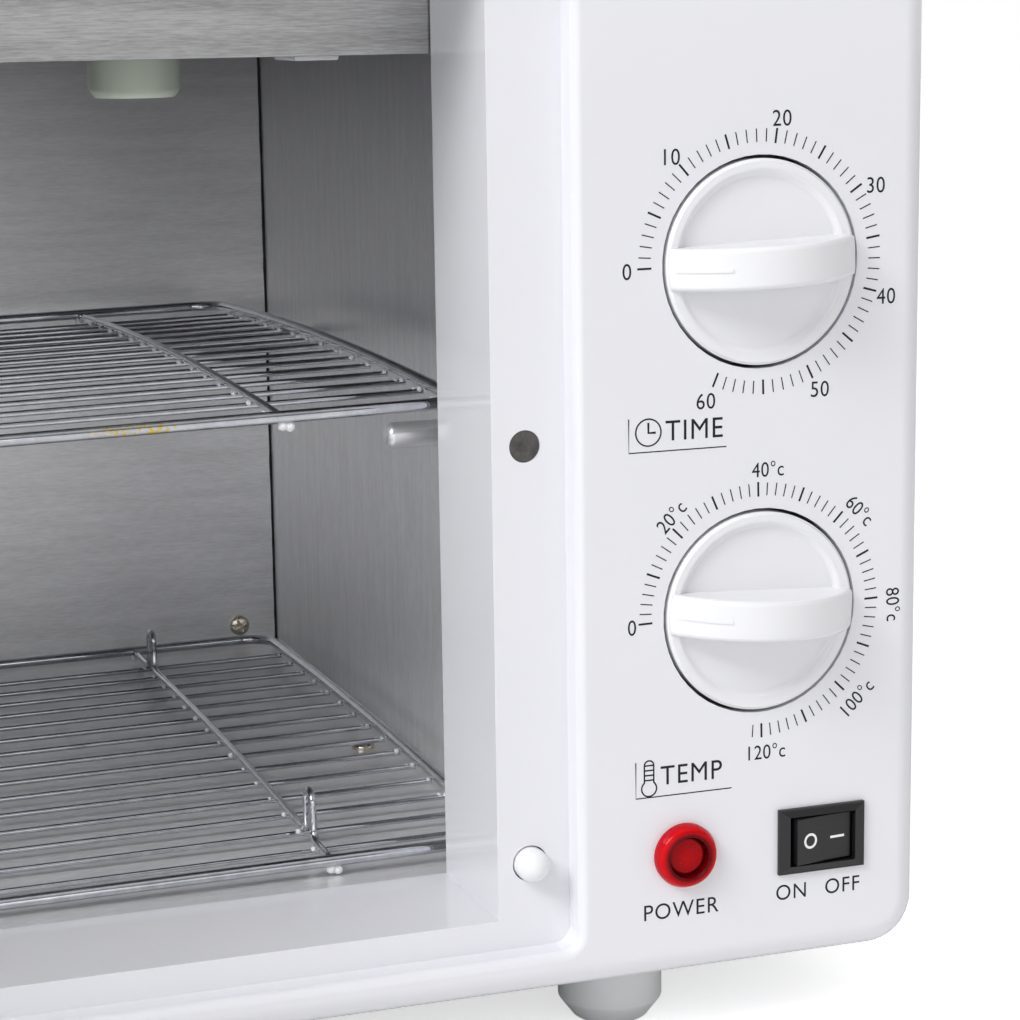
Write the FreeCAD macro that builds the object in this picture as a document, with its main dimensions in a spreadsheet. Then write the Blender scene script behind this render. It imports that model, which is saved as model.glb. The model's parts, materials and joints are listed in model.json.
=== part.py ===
import FreeCAD, Part
import math
import os
import Sketcher
from FreeCAD import Placement, Rotation, Vector

# A countertop towel warmer cabinet with a heated and lamp-lit chamber, two wire racks,
# a side-hinged glass door and a control column on the right.
# Millimetres. X is to the right seen from the front, Y runs from the front to the rear,
# Z is up. The origin is the middle of the footprint, on the surface it stands on.

doc = FreeCAD.newDocument("towel_warmer_cabinet")
sheet = doc.addObject("Spreadsheet::Sheet", "Dims")

SIZES = {
    # Overall
    "body_height": 240.0,
    "foot_height": 18.0,
    "column_width": 82.5,
    "rear_room": 23.0,
    # Moulded front
    "corner_radius": 11.0,
    "front_round": 6.0,
    "panel_wall": 3.0,
    "panel_fit": 0.1,
    "skirt_depth": 22.0,
    "recess_depth": 7.0,
    "recess_side": 8.5,
    "recess_corner": 4.0,
    "recess_round": 2.0,
    "land_side": 16.5,
    "land_rim": 6.6,
    "recess_rim": 9.0,
    "opening_width": 326.0,
    "jamb_depth": 36.0,
    "jamb_wall": 2.5,
    # Chamber liner
    "liner_sheet": 0.8,
    "chamber_side": 23.0,
    "chamber_depth": 239.0,
    "liner_side": 14.0,
    "heater_thick": 3.0,
    "blanket_thick": 8.0,
    # Sheet metal casing
    "casing_sheet": 1.0,
    "hem_width": 12.0,
    "base_lip": 10.0,
    "vent_length": 60.0,
    "vent_height": 4.0,
    "vent_pitch": 9.0,
    "gland_hole": 8.0,
    # Screws
    "screw_head": 3.1,
    "screw_rise": 1.8,
    "screw_shank": 1.5,
    "screw_fit": 0.1,
    # Control column
    "dial_inset": 40.0,
    "time_dial_rise": 157.3,
    "temp_dial_rise": 81.2,
    "control_row_rise": 28.0,
    "lamp_inset": 58.0,
    "rocker_inset": 25.0,
    "knob_radius": 22.0,
    "knob_gap": 0.8,
    "knob_proud": 0.8,
    "knob_depth": 8.0,
    "knob_rim": 2.0,
    "knob_dish": 1.6,
    "grip_width": 9.0,
    "grip_rise": 11.5,
    "grip_round": 1.2,
    "hub_radius": 7.0,
    "hub_length": 10.0,
    "shaft_radius": 3.0,
    "shaft_fit": 0.05,
    "bracket_back": 18.0,
    "bracket_sheet": 1.5,
    "bracket_width": 56.0,
    "bracket_margin": 29.0,
    "control_body": 46.0,
    "control_length": 34.0,
    "bezel_width": 21.0,
    "bezel_height": 15.0,
    "bezel_thick": 1.5,
    "switch_width": 18.8,
    "switch_height": 12.8,
    "switch_depth": 18.0,
    "rocker_width": 14.4,
    "rocker_height": 10.6,
    "rocker_gap": 0.4,
    "rocker_end_gap": 0.8,
    "rocker_pivot_radius": 1.0,
    "rocker_pivot_reach": 0.3,
    "rocker_pivot_fit": 0.1,
    "rocker_tilt": 9.0,
    "lens_radius": 7.2,
    "lens_proud": 3.2,
    "lamp_body_radius": 5.0,
    "lamp_body_depth": 24.0,
    # Door catch and door switch
    "catch_inset": 7.5,
    "magnet_radius": 3.5,
    "magnet_length": 8.0,
    "magnet_sunk": 0.4,
    "plunger_rise": 28.0,
    "plunger_radius": 3.7,
    "plunger_proud": 5.6,
    "plunger_gap": 0.3,
    "plunger_fit": 0.08,
    "plunger_length": 14.0,
    "switch_body_radius": 4.6,
    "switch_body_length": 24.0,
    # Wire racks
    "rack_side_room": 19.0,
    "rack_end_room": 20.0,
    "rack_corner": 9.0,
    "rail_radius": 1.4,
    "rod_radius": 0.7,
    "rod_pitch": 13.4,
    "rod_margin": 13.0,
    "stay_radius": 0.9,
    "stay_inset": 41.5,
    "loop_rise": 11.0,
    "loop_width": 6.0,
    "upper_rack_rise": 106.0,
    "upper_rack_offset": 4.1,
    "upper_rack_setback": 2.0,
    "lower_rack_offset": 15.0,
    "lower_rack_setback": 7.5,
    "lower_rack_yaw": 0.5,
    "pin_radius": 3.0,
    "pin_reach": 31.1,
    # Lamp group at the top of the opening
    "shield_height": 22.8,
    "shield_hem": 4.0,
    "tube_radius": 8.0,
    "tube_length": 260.0,
    "tube_setback": 22.0,
    "tube_drop": 13.5,
    "tube_pin_radius": 1.2,
    "tube_pin_length": 5.0,
    "holder_thick": 10.0,
    "holder_depth": 18.0,
    "holder_drop": 24.0,
    "starter_radius": 10.5,
    "starter_offset": 101.0,
    "starter_setback": 45.0,
    "starter_length": 24.0,
    "socket_length": 8.0,
    # Door
    "door_gap": 0.6,
    "door_end_gap": 2.1,
    "door_proud": 14.0,
    "door_inner": 5.0,
    "door_inner_inset": 3.0,
    "door_border": 34.0,
    "door_corner": 4.0,
    "door_round": 5.5,
    "door_wall": 3.0,
    "window_corner": 6.0,
    "window_lip": 8.0,
    "glass_thick": 4.0,
    "glass_fit": 1.0,
    "seal_start": 0.4,
    "seal_width": 2.8,
    "seal_thick": 1.7,
    "strike_height": 24.0,
    "strike_bed": 0.5,
    "hinge_inset": 9.0,
    "hinge_front": 8.0,
    "hinge_plate": 1.5,
    "hinge_pin_radius": 2.0,
    "hinge_pin_length": 11.0,
    "hinge_fit": 0.05,
    "bush_radius": 3.6,
    "bush_length": 13.0,
    "door_open_angle": 90.0,
    "handle_length": 110.0,
    "handle_radius": 5.0,
    "handle_arm_radius": 4.0,
    "handle_arm_inset": 12.0,
    "handle_reach": 26.0,
    # Feet
    "foot_radius": 12.0,
    "foot_bevel": 4.5,
    "foot_recess": 4.0,
    "foot_inset_x": 64.0,
    "foot_inset_y": 30.0,
    "foot_screw_radius": 2.0,
    # Inner electrics
    "electrics_inset": 62.0,
    "ballast_width": 34.0,
    "ballast_length": 60.0,
    "ballast_height": 30.0,
    "ballast_setback": 110.0,
    "block_width": 28.0,
    "block_length": 40.0,
    "block_height": 16.0,
    "block_setback": 30.0,
}

for row, (alias, number) in enumerate(SIZES.items(), start=1):
    sheet.set("A%d" % row, alias)
    sheet.set("B%d" % row, str(number))
    sheet.setAlias("B%d" % row, alias)
doc.recompute()


class Size:
    """A size as an expression on the sheet, together with its present value."""

    def __init__(self, text, value):
        self.text = text
        self.value = value

    def __add__(self, other):
        other = size(other)
        return Size("(%s + %s)" % (self.text, other.text), self.value + other.value)

    def __sub__(self, other):
        other = size(other)
        return Size("(%s - %s)" % (self.text, other.text), self.value - other.value)

    def __mul__(self, other):
        other = size(other)
        return Size("(%s * %s)" % (self.text, other.text), self.value * other.value)

    def __truediv__(self, other):
        other = size(other)
        return Size("(%s / %s)" % (self.text, other.text), self.value / other.value)

    def __neg__(self):
        return Size("(0 - %s)" % self.text, -self.value)

    def __radd__(self, other):
        return size(other) + self

    def __rsub__(self, other):
        return size(other) - self

    def __rmul__(self, other):
        return size(other) * self


def size(number):
    """The Size of a plain number; a Size stays as it is."""
    if isinstance(number, Size):
        return number
    text = "%s" % float(number) if number >= 0 else "(0 - %s)" % float(-number)
    return Size(text, float(number))


def cell(alias):
    """The Size of one cell of the sheet."""
    return Size("Dims." + alias, SIZES[alias])


def least(one, other):
    """The smaller of two sizes."""
    return one if size(one).value <= size(other).value else other


# Shared helpers

ALONG_X = Rotation(Vector(0, 1, 0), 90)
AGAINST_X = Rotation(Vector(0, 1, 0), -90)
ALONG_Y = Rotation(Vector(1, 0, 0), -90)
ALONG_Z = Rotation()
TOWARDS_FRONT = Rotation(Vector(1, 0, 0), 90)
PAST = 1.0
WIRE_FLATS = 8
STAY_FLATS = 6
SHANK_FLATS = 8
HEAD_FLATS = 12
pieces = {}


def put(thing, x, y, z, turn=ALONG_Z):
    """Sets where a thing stands, with its base point bound to the sheet."""
    spots = [size(x), size(y), size(z)]
    thing.Placement = Placement(Vector(*[spot.value for spot in spots]), turn)
    for axis, spot in zip("xyz", spots):
        thing.setExpression("Placement.Base." + axis, spot.text)
    return thing


def box(x0, x1, y0, y1, z0, z1):
    """A block between three pairs of planes."""
    thing = doc.addObject("Part::Box", "Block")
    spans = [size(x1) - x0, size(y1) - y0, size(z1) - z0]
    for prop, span in zip(("Length", "Width", "Height"), spans):
        thing.setExpression(prop, span.text)
    return put(thing, x0, y0, z0)


def rod(x, y, z, radius, length, turn=ALONG_Z):
    """A cylinder from its base point along the turned Z axis."""
    thing = doc.addObject("Part::Cylinder", "Rod")
    thing.setExpression("Radius", size(radius).text)
    thing.setExpression("Height", size(length).text)
    return put(thing, x, y, z, turn)


def half_flat(flats):
    """The turn that lays one flat of a many-sided bar square to its first axis."""
    return Rotation(Vector(0, 0, 1), 180.0 / flats)


def bar(x, y, z, radius, length, flats, turn=ALONG_Z):
    """A slender bar with flats at this radius, along the turned Z axis."""
    thing = doc.addObject("Part::Prism", "Bar")
    thing.Polygon = round(flats)
    thing.setExpression("Circumradius", (size(radius) / math.cos(math.pi / flats)).text)
    thing.setExpression("Height", size(length).text)
    return put(thing, x, y, z, turn * half_flat(flats))


def fuse(*things):
    """Things joined into one solid."""
    joined = doc.addObject("Part::MultiFuse", "Joined")
    joined.Shapes = list(things)
    joined.Refine = True
    return joined


def cut(base, *tools):
    """A base with tools taken away from it."""
    result = doc.addObject("Part::Cut", "Hollowed")
    result.Base = base
    result.Tool = tools[0] if len(tools) == 1 else group(*tools)
    return result


def group(*things):
    """Separate solids kept together as one thing."""
    held = doc.addObject("Part::Compound", "Set")
    held.Links = list(things)
    return held


def common(base, tool):
    """What two things share."""
    shared = doc.addObject("Part::Common", "Shared")
    shared.Base = base
    shared.Tool = tool
    return shared


def fillet(base, radius, wanted):
    """Rounds the edges of a thing whose middle point and direction are wanted."""
    doc.recompute()
    value = size(radius).value
    edges = []
    for number, edge in enumerate(base.Shape.Edges, start=1):
        middle = edge.valueAt((edge.FirstParameter + edge.LastParameter) / 2)
        along = edge.tangentAt((edge.FirstParameter + edge.LastParameter) / 2)
        if wanted(middle, along):
            edges.append((number, value, value))
    rounded = doc.addObject("Part::Fillet", "Rounded")
    rounded.Base = base
    rounded.Edges = edges
    return rounded


def near(one, other):
    """Whether two lengths are the same to a hundredth of a millimetre."""
    return abs(one - size(other).value) < 0.01


def runs(along, axis):
    """Whether a direction lies along the axis with this number."""
    return abs(abs(along[axis]) - 1.0) < 0.001


def round_block(x0, x1, y0, y1, z0, z1, radius):
    """A block whose four edges along Y are rounded."""
    return fillet(box(x0, x1, y0, y1, z0, z1), radius, lambda at, along: runs(along, 1))


def arch_block(x0, x1, y0, y1, z0, z1, radius):
    """A block whose two upper edges along Y are rounded."""
    return fillet(box(x0, x1, y0, y1, z0, z1), radius,
                  lambda at, along: runs(along, 1) and near(at.z, z1))


def turned(points):
    """A PartDesign body turned about its own Z axis from a profile of radius and height."""
    body = doc.addObject("PartDesign::Body", "Turned")
    sketch = profile(body, "XZ_Plane", points)
    spin = body.newObject("PartDesign::Revolution", "Spin")
    spin.Profile = sketch
    spin.ReferenceAxis = (sketch, ["V_Axis"])
    spin.Angle = 360
    sketch.Visibility = False
    return body


def padded(points, thickness):
    """A PartDesign body padded along its own Z axis from an outline in X and Y."""
    body = doc.addObject("PartDesign::Body", "Padded")
    sketch = profile(body, "XY_Plane", points)
    pad = body.newObject("PartDesign::Pad", "Pad")
    pad.Profile = sketch
    pad.setExpression("Length", size(thickness).text)
    return body


def profile(body, role, points):
    """A closed sketch through points, each bound to the sheet."""
    sketch = body.newObject("Sketcher::SketchObject", "Profile")
    plane = [one for one in body.Origin.OriginFeatures if one.Role == role][0]
    sketch.AttachmentSupport = [(plane, "")]
    sketch.MapMode = "FlatFace"
    spots = [(size(across), size(up)) for across, up in points]
    count = len(spots)
    for index in range(count):
        start, end = spots[index], spots[(index + 1) % count]
        line = Part.LineSegment(Vector(start[0].value, start[1].value, 0),
                                Vector(end[0].value, end[1].value, 0))
        sketch.addGeometry(line, False)
    for index in range(count):
        sketch.addConstraint(Sketcher.Constraint("Coincident", index, 2, (index + 1) % count, 1))
    for index, spot in enumerate(spots):
        for kind, length in zip(("DistanceX", "DistanceY"), spot):
            rule = Sketcher.Constraint(kind, -1, 1, index, 1, length.value)
            number = sketch.addConstraint(rule)
            sketch.setExpression("Constraints[%d]" % number, length.text)
    return sketch


def piece(name, thing):
    """Names a finished piece of the cabinet."""
    thing.Label = name
    pieces[name] = thing
    return thing


def stand(name, thing, x, y, z, turn=ALONG_Z):
    """Names a finished piece and sets where it stands."""
    return piece(name, put(thing, x, y, z, turn))


# Planes and spots that several pieces share

body_width = (cell("recess_side") + cell("land_side") * 2 + cell("opening_width")
              + cell("column_width"))
body_depth = (cell("recess_depth") + cell("jamb_depth") + cell("chamber_depth")
              + cell("rear_room"))
body_left = -body_width / 2
body_right = body_width / 2
body_bottom = cell("foot_height")
body_top = cell("foot_height") + cell("body_height")
front = -body_depth / 2
rear = body_depth / 2
wall = cell("panel_wall")
inner_corner = cell("corner_radius") - wall

recess_left = body_left + cell("recess_side")
opening_left = recess_left + cell("land_side")
opening_right = opening_left + cell("opening_width")
recess_right = opening_right + cell("land_side")
recess_bottom = body_bottom + cell("recess_rim")
recess_top = body_top - cell("recess_rim")
opening_bottom = recess_bottom + cell("land_rim")
opening_top = recess_top - cell("land_rim")
land = front + cell("recess_depth")
jamb_end = land + cell("jamb_depth")

chamber_left = body_left + cell("liner_side")
chamber_right = opening_right + cell("chamber_side")
chamber_width = chamber_right - chamber_left
chamber_mid = chamber_left + chamber_width / 2
chamber_back = jamb_end + cell("chamber_depth")
liner = cell("liner_sheet")
skirt_end = front + cell("skirt_depth")

dial_x = body_right - cell("dial_inset")
time_spot = (dial_x, body_bottom + cell("time_dial_rise"))
temp_spot = (dial_x, body_bottom + cell("temp_dial_rise"))
control_row = body_bottom + cell("control_row_rise")
lamp_x = body_right - cell("lamp_inset")
rocker_x = body_right - cell("rocker_inset")
bracket_face = front + cell("bracket_back")
bracket_left = dial_x - cell("bracket_width") / 2
bracket_right = dial_x + cell("bracket_width") / 2
bracket_bottom = temp_spot[1] - cell("bracket_margin")
bracket_top = time_spot[1] + cell("bracket_margin")
catch_x = opening_right + cell("catch_inset")
magnet_z = body_bottom + cell("body_height") / 2
plunger_z = body_bottom + cell("plunger_rise")
foot_x = body_width / 2 - cell("foot_inset_x")
foot_y = body_depth / 2 - cell("foot_inset_y")
foot_spots = {"front_left": (-foot_x, -foot_y), "front_right": (foot_x, -foot_y),
              "rear_left": (-foot_x, foot_y), "rear_right": (foot_x, foot_y)}


# Screws: a flat-sided head on a slender shank, one shape for every place

def screw(x, y, z, turn, length):
    """A screw whose head rises from its seat along the turned Z axis."""
    head = bar(0, 0, 0, cell("screw_head"), cell("screw_rise"), HEAD_FLATS)
    shank = bar(0, 0, -size(length), cell("screw_shank"), length, SHANK_FLATS)
    return put(fuse(head, shank), x, y, z, turn)


def screw_hole(x, y, z, length, turn=ALONG_Z):
    """The clearance hole of a screw."""
    return bar(x, y, z, cell("screw_shank") + cell("screw_fit"), length, SHANK_FLATS, turn)


# Moulded front: one shell with the door recess, the opening's jamb and the control face

def front_shell():
    """The outer skin with the recess tray, the jamb, the magnet's seat and four posts."""
    outer = round_block(body_left, body_right, front, skirt_end, body_bottom, body_top,
                        cell("corner_radius"))
    outer = fillet(outer, cell("front_round"), lambda at, along: near(at.y, front))
    hollow = round_block(body_left + wall, body_right - wall, front + wall, skirt_end + PAST,
                         body_bottom + wall, body_top - wall, inner_corner)
    tray = box(recess_left - wall, recess_right + wall, front, land + wall,
               recess_bottom - wall, recess_top + wall)
    tray = common(tray, round_block(body_left, body_right, front, land + wall,
                                    body_bottom, body_top, cell("corner_radius")))
    tray = cut(tray, box(body_left, body_left + cell("front_round"), front, front + wall,
                         body_bottom, body_top))
    jamb_wall = cell("jamb_wall")
    jamb = box(opening_left - jamb_wall, opening_right + jamb_wall, land, jamb_end,
               opening_bottom - jamb_wall, opening_top + jamb_wall)
    post = 7.0
    posts = [box(x, x + post, front + wall - 0.5, bracket_face, z, z + post)
             for x in (bracket_left, bracket_right - post)
             for z in (bracket_bottom, bracket_top - post)]
    seat_wall = 1.4
    seat = rod(catch_x, land + wall - 0.5, magnet_z, cell("magnet_radius") + seat_wall,
               cell("magnet_length") + cell("magnet_sunk") - wall + 1.5, ALONG_Y)
    return fuse(cut(outer, hollow), tray, jamb, seat, *posts)


def front_cuts():
    """The door recess, the opening and the holes of what sits in the front."""
    tools = [round_block(recess_left, recess_right, front - PAST, land,
                         recess_bottom, recess_top, cell("recess_corner")),
             box(opening_left, opening_right, front - PAST, jamb_end + PAST,
                 opening_bottom, opening_top)]
    through = wall + 2 * PAST
    for x, z in (time_spot, temp_spot):
        tools.append(rod(x, front - PAST, z, cell("knob_radius") + cell("knob_gap"),
                         through, ALONG_Y))
    fit = cell("panel_fit")
    tools.append(rod(lamp_x, front - PAST, control_row, cell("lamp_body_radius") + fit,
                     through, ALONG_Y))
    half_width = cell("switch_width") / 2 + fit
    half_height = cell("switch_height") / 2 + fit
    tools.append(box(rocker_x - half_width, rocker_x + half_width, front - PAST,
                     front + wall + PAST, control_row - half_height, control_row + half_height))
    tools.append(rod(catch_x, land - PAST, magnet_z, cell("magnet_radius"),
                     cell("magnet_length") + cell("magnet_sunk") + PAST, ALONG_Y))
    tools.append(rod(catch_x, land - PAST, plunger_z,
                     cell("plunger_radius") + cell("plunger_gap"), through, ALONG_Y))
    return tools


def recess_edges(at, along):
    """Whether an edge is where the recess meets the face."""
    inside = recess_left.value - 0.1 < at.x < recess_right.value + 0.1
    inside = inside and recess_bottom.value - 0.1 < at.z < recess_top.value + 0.1
    return inside and near(at.y, front)


recess_round = least(cell("recess_round"), cell("recess_side") - cell("front_round") - 0.3)
piece("front_frame", fillet(cut(front_shell(), *front_cuts()), recess_round, recess_edges))

# Base plate: a flat sheet under the hems with a lip turned up at the front and the rear

skin = cell("casing_sheet")
casing_left = body_left + wall - skin
casing_right = body_right - wall + skin
casing_top = body_top - wall + skin
room_left = casing_left + skin
room_right = casing_right - skin
room_top = casing_top - skin
deck = body_bottom + skin
lip_left = room_left + cell("hem_width") + 0.5
lip_right = room_right - cell("hem_width") - 0.5
lip_top = deck + cell("base_lip")
base = fuse(box(casing_left, casing_right, skirt_end, rear, body_bottom, deck),
            box(lip_left, lip_right, skirt_end, skirt_end + skin, body_bottom, lip_top),
            box(lip_left, lip_right, rear - skin * 2, rear - skin, body_bottom, lip_top))
foot_bore = cell("foot_screw_radius") + cell("screw_fit")
piece("base_plate", cut(base, *[bar(x, y, body_bottom - PAST, foot_bore, skin + 2 * PAST,
                                    SHANK_FLATS) for x, y in foot_spots.values()]))

# Casing: a folded sheet over the top and both sides, hemmed at the foot and the rear

rear_spots = [(x, z) for x in (room_left + cell("hem_width") - 4, room_right - cell("hem_width") + 4)
              for z in (body_bottom + 30, body_top - 30)]
rear_holes = [screw_hole(x, rear - skin * 3, z, skin * 4, ALONG_Y) for x, z in rear_spots]
casing_outer = arch_block(casing_left, casing_right, skirt_end, rear, deck, casing_top,
                          inner_corner + skin)
casing_room = arch_block(room_left, room_right, skirt_end - PAST, rear - skin * 2,
                         deck + skin, room_top, inner_corner)
casing_rebate = arch_block(room_left, room_right, rear - skin, rear + PAST,
                           deck - PAST, room_top, inner_corner)
hem = cell("hem_width")
belly = box(room_left + hem, room_right - hem, skirt_end - PAST, rear + PAST,
            deck - PAST, room_top - hem)
piece("outer_casing", cut(casing_outer, casing_room, casing_rebate, belly, *rear_holes))

# Rear panel with two fields of vent slots and the cable gland's hole

panel = arch_block(room_left, room_right, rear - skin, rear, deck, room_top, inner_corner)
vent_rows = 6
slots = []
for centre in (-body_width / 4, body_width / 4):
    for step in range(vent_rows):
        level = body_top - 40 - cell("vent_pitch") * step
        slots.append(box(centre - cell("vent_length") / 2, centre + cell("vent_length") / 2,
                         rear - skin - PAST, rear + PAST,
                         level, level + cell("vent_height")))
gland_x = body_right - 60
gland_z = body_bottom + 45
gland_cut = rod(gland_x, rear - skin - PAST, gland_z, cell("gland_hole") + cell("panel_fit"),
                skin + 2 * PAST, ALONG_Y)
piece("rear_panel", cut(panel, gland_cut, *slots, *rear_holes))
piece("rear_screws", group(*[screw(x, rear, z, ALONG_Y, 6) for x, z in rear_spots]))

gland = turned([(3.5, -6), (cell("gland_hole"), -6), (cell("gland_hole"), 0),
                (cell("gland_hole") + 3, 0), (cell("gland_hole") + 3, 4), (6.5, 14), (3.5, 14)])
stand("cable_gland", gland, gland_x, rear, gland_z, ALONG_Y)

# Liner: one folded sheet for floor, walls and ceiling, with turned-in front flanges

rack_width = chamber_width - cell("rack_side_room") * 2
rack_depth = cell("chamber_depth") - cell("rack_end_room")
rod_span = rack_depth.value - 2 * SIZES["rod_margin"]
rod_count = int(rod_span // SIZES["rod_pitch"]) + 1
upper_rack_z = opening_bottom + cell("upper_rack_rise")
upper_rack_y = jamb_end + cell("upper_rack_setback")
first_rod = upper_rack_y + cell("rod_margin")
last_rod = first_rod + cell("rod_pitch") * (rod_count - 1)
rack_drop = cell("rail_radius") + cell("rod_radius") * 2
pin_z = upper_rack_z - rack_drop - cell("pin_radius")
pin_rows = (first_rod, last_rod)
lower_rack_x = chamber_mid + cell("lower_rack_offset")
lower_rack_y = jamb_end + cell("lower_rack_setback")

liner_outer = box(chamber_left - liner, chamber_right + liner, jamb_end, chamber_back,
                  opening_bottom - liner, opening_top + liner)
liner_room = box(chamber_left, chamber_right, jamb_end + liner, chamber_back + PAST,
                 opening_bottom, opening_top)
liner_mouth = box(opening_left - 0.5, opening_right + 0.5, jamb_end - PAST, jamb_end + 2 * PAST,
                  opening_bottom, opening_top)
pin_holes = [screw_hole(chamber_left - 2 * PAST, y, pin_z, chamber_width + 4 * PAST,
                        ALONG_X) for y in pin_rows]
rack_lead = math.sin(math.radians(SIZES["lower_rack_yaw"]))
mid_gap = lower_rack_y + cell("rod_margin") + cell("rod_pitch") * (rod_count // 2 - 0.5)
floor_screw_y = mid_gap + (chamber_right - 10.5 - lower_rack_x) * rack_lead
floor_spots = [(x, floor_screw_y) for x in (chamber_left + 10.5, chamber_right - 10.5)]
floor_holes = [screw_hole(x, y, opening_bottom - 2 * PAST, 4 * PAST) for x, y in floor_spots]
piece("liner_wrap", cut(liner_outer, liner_room, liner_mouth, *pin_holes, *floor_holes))
piece("liner_floor_screws", group(*[screw(x, y, opening_bottom, ALONG_Z, 5)
                                    for x, y in floor_spots]))

back_plate = box(chamber_left - liner, chamber_right + liner, chamber_back,
                 chamber_back + liner, opening_bottom - liner, opening_top + liner)
back_spots = [(x, z) for x in (chamber_left + 12, chamber_right - 12)
              for z in (opening_bottom + 6, opening_top - 20)]
back_holes = [screw_hole(x, chamber_back - PAST, z, liner + 2 * PAST, ALONG_Y)
              for x, z in back_spots]
piece("liner_back", cut(back_plate, *back_holes))
piece("liner_back_screws", group(*[screw(x, chamber_back, z, TOWARDS_FRONT, 5)
                                   for x, z in back_spots]))

# Pins that carry the upper rack: domed studs through the chamber walls

reach = cell("pin_reach")
pin_profile = [(0, -3), (cell("screw_shank"), -3), (cell("screw_shank"), 0),
               (cell("pin_radius"), 0), (cell("pin_radius"), reach - 1.8),
               (cell("pin_radius") * 0.72, reach - 0.5), (0, reach)]
pins = []
for y in pin_rows:
    pins.append(put(turned(pin_profile), chamber_left, y, pin_z, ALONG_X))
    pins.append(put(turned(pin_profile), chamber_right, y, pin_z, AGAINST_X))
piece("rack_pins", group(*pins))


# Wire racks: a bent rail ring, cross rods welded under it and two stays over the rods

def ring_path(x0, x1, y0, y1, corner):
    """A rounded rectangle in the level plane."""
    pinch = corner * (1 - math.sqrt(0.5))
    places = [(x1 - corner, y0, x1 - pinch, y0 + pinch, x1, y0 + corner),
              (x1, y1 - corner, x1 - pinch, y1 - pinch, x1 - corner, y1),
              (x0 + corner, y1, x0 + pinch, y1 - pinch, x0, y1 - corner),
              (x0, y0 + corner, x0 + pinch, y0 + pinch, x0 + corner, y0)]
    edges = []
    pen = Vector(x0 + corner, y0, 0)
    for ax, ay, bx, by, cx, cy in places:
        start, middle, end = Vector(ax, ay, 0), Vector(bx, by, 0), Vector(cx, cy, 0)
        edges.append(Part.LineSegment(pen, start).toShape())
        edges.append(Part.Arc(start, middle, end).toShape())
        pen = end
    return Part.Wire(edges)


def stay_path(x, y0, y1, z, loops):
    """A straight stay, or one with an upright hairpin near each end."""
    rise, half = SIZES["loop_rise"], SIZES["loop_width"] / 2
    edges = []
    pen = Vector(x, y0, z)
    for y in loops:
        foot = Vector(x, y - half, z)
        shoulder = Vector(x, y - half, z + rise - half)
        crown = Vector(x, y, z + rise)
        other = Vector(x, y + half, z + rise - half)
        landing = Vector(x, y + half, z)
        edges.append(Part.LineSegment(pen, foot).toShape())
        edges.append(Part.LineSegment(foot, shoulder).toShape())
        edges.append(Part.Arc(shoulder, crown, other).toShape())
        edges.append(Part.LineSegment(other, landing).toShape())
        pen = landing
    edges.append(Part.LineSegment(pen, Vector(x, y1, z)).toShape())
    return Part.Wire(edges)


def wire_along(path, start, turn, radius, flats):
    """Wire swept along a path, with flats at this radius."""
    spine = doc.addObject("Part::Feature", "Path")
    spine.Shape = path
    section = doc.addObject("Part::RegularPolygon", "Section")
    section.Polygon = round(flats)
    section.setExpression("Circumradius", (size(radius) / math.cos(math.pi / flats)).text)
    section.Placement = Placement(start, turn * half_flat(flats))
    wire = doc.addObject("Part::Sweep", "Wire")
    wire.Sections = [section]
    wire.Spine = (spine, ["Edge%d" % (n + 1) for n in range(len(path.Edges))])
    wire.Solid = True
    wire.Transition = "Right corner"
    return wire


def rod_inset(y, deep, corner):
    """How far inside the rack's side a rod ends, where the ring's corner bends in."""
    along = min(y, deep - y)
    if along >= corner:
        return 0.5
    return corner - math.sqrt(corner ** 2 - (corner - along) ** 2) + 0.5


def wire_rack(with_loops):
    """A rack about its own front rail: X across, Y to the rear, Z up from the rail's middle."""
    half = rack_width.value / 2
    deep = rack_depth.value
    corner = SIZES["rack_corner"]
    rail = SIZES["rail_radius"]
    ring = wire_along(ring_path(-half, half, 0, deep, corner), Vector(-half + corner, 0, 0),
                      ALONG_X, cell("rail_radius"), WIRE_FLATS)
    rod_z = -(cell("rail_radius") + cell("rod_radius"))
    rods = []
    for index in range(rod_count):
        y = cell("rod_margin") + cell("rod_pitch") * index
        inset = rod_inset(y.value, deep, corner)
        rods.append(bar(-rack_width / 2 + inset, y, rod_z, cell("rod_radius"),
                        rack_width - 2 * inset, WIRE_FLATS, ALONG_X))
    stay_z = SIZES["stay_radius"] - rail
    bends = []
    if with_loops:
        bends = [SIZES["rod_margin"] + SIZES["rod_pitch"] * (spot + 0.5)
                 for spot in (0, rod_count - 2)]
    stays = []
    for x in (-half + SIZES["stay_inset"], half - SIZES["stay_inset"]):
        stays.append(wire_along(stay_path(x, rail, deep - rail, stay_z, bends),
                                Vector(x, rail, stay_z), ALONG_Y, cell("stay_radius"),
                                STAY_FLATS))
    return group(ring, *rods, *stays)


stand("upper_rack", wire_rack(False), chamber_mid + cell("upper_rack_offset"), upper_rack_y,
      upper_rack_z)
stand("lower_rack", wire_rack(True), lower_rack_x, lower_rack_y, opening_bottom + rack_drop,
      Rotation(Vector(0, 0, 1), SIZES["lower_rack_yaw"]))

# Lamp group: a brushed shield, the tube in its holders and the starter in its socket

shield_y = jamb_end + liner
shield_bottom = opening_top - cell("shield_height")
shield_face = box(chamber_left, chamber_right, shield_y, shield_y + liner,
                  shield_bottom, opening_top)
shield_hem = box(chamber_left, chamber_right, shield_y, shield_y + cell("shield_hem"),
                 shield_bottom, shield_bottom + liner)
shield_flange = box(chamber_left, chamber_right, shield_y, shield_y + cell("shield_hem") * 2,
                    opening_top - liner, opening_top)
piece("lamp_shield", fuse(shield_face, shield_hem, shield_flange))

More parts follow.
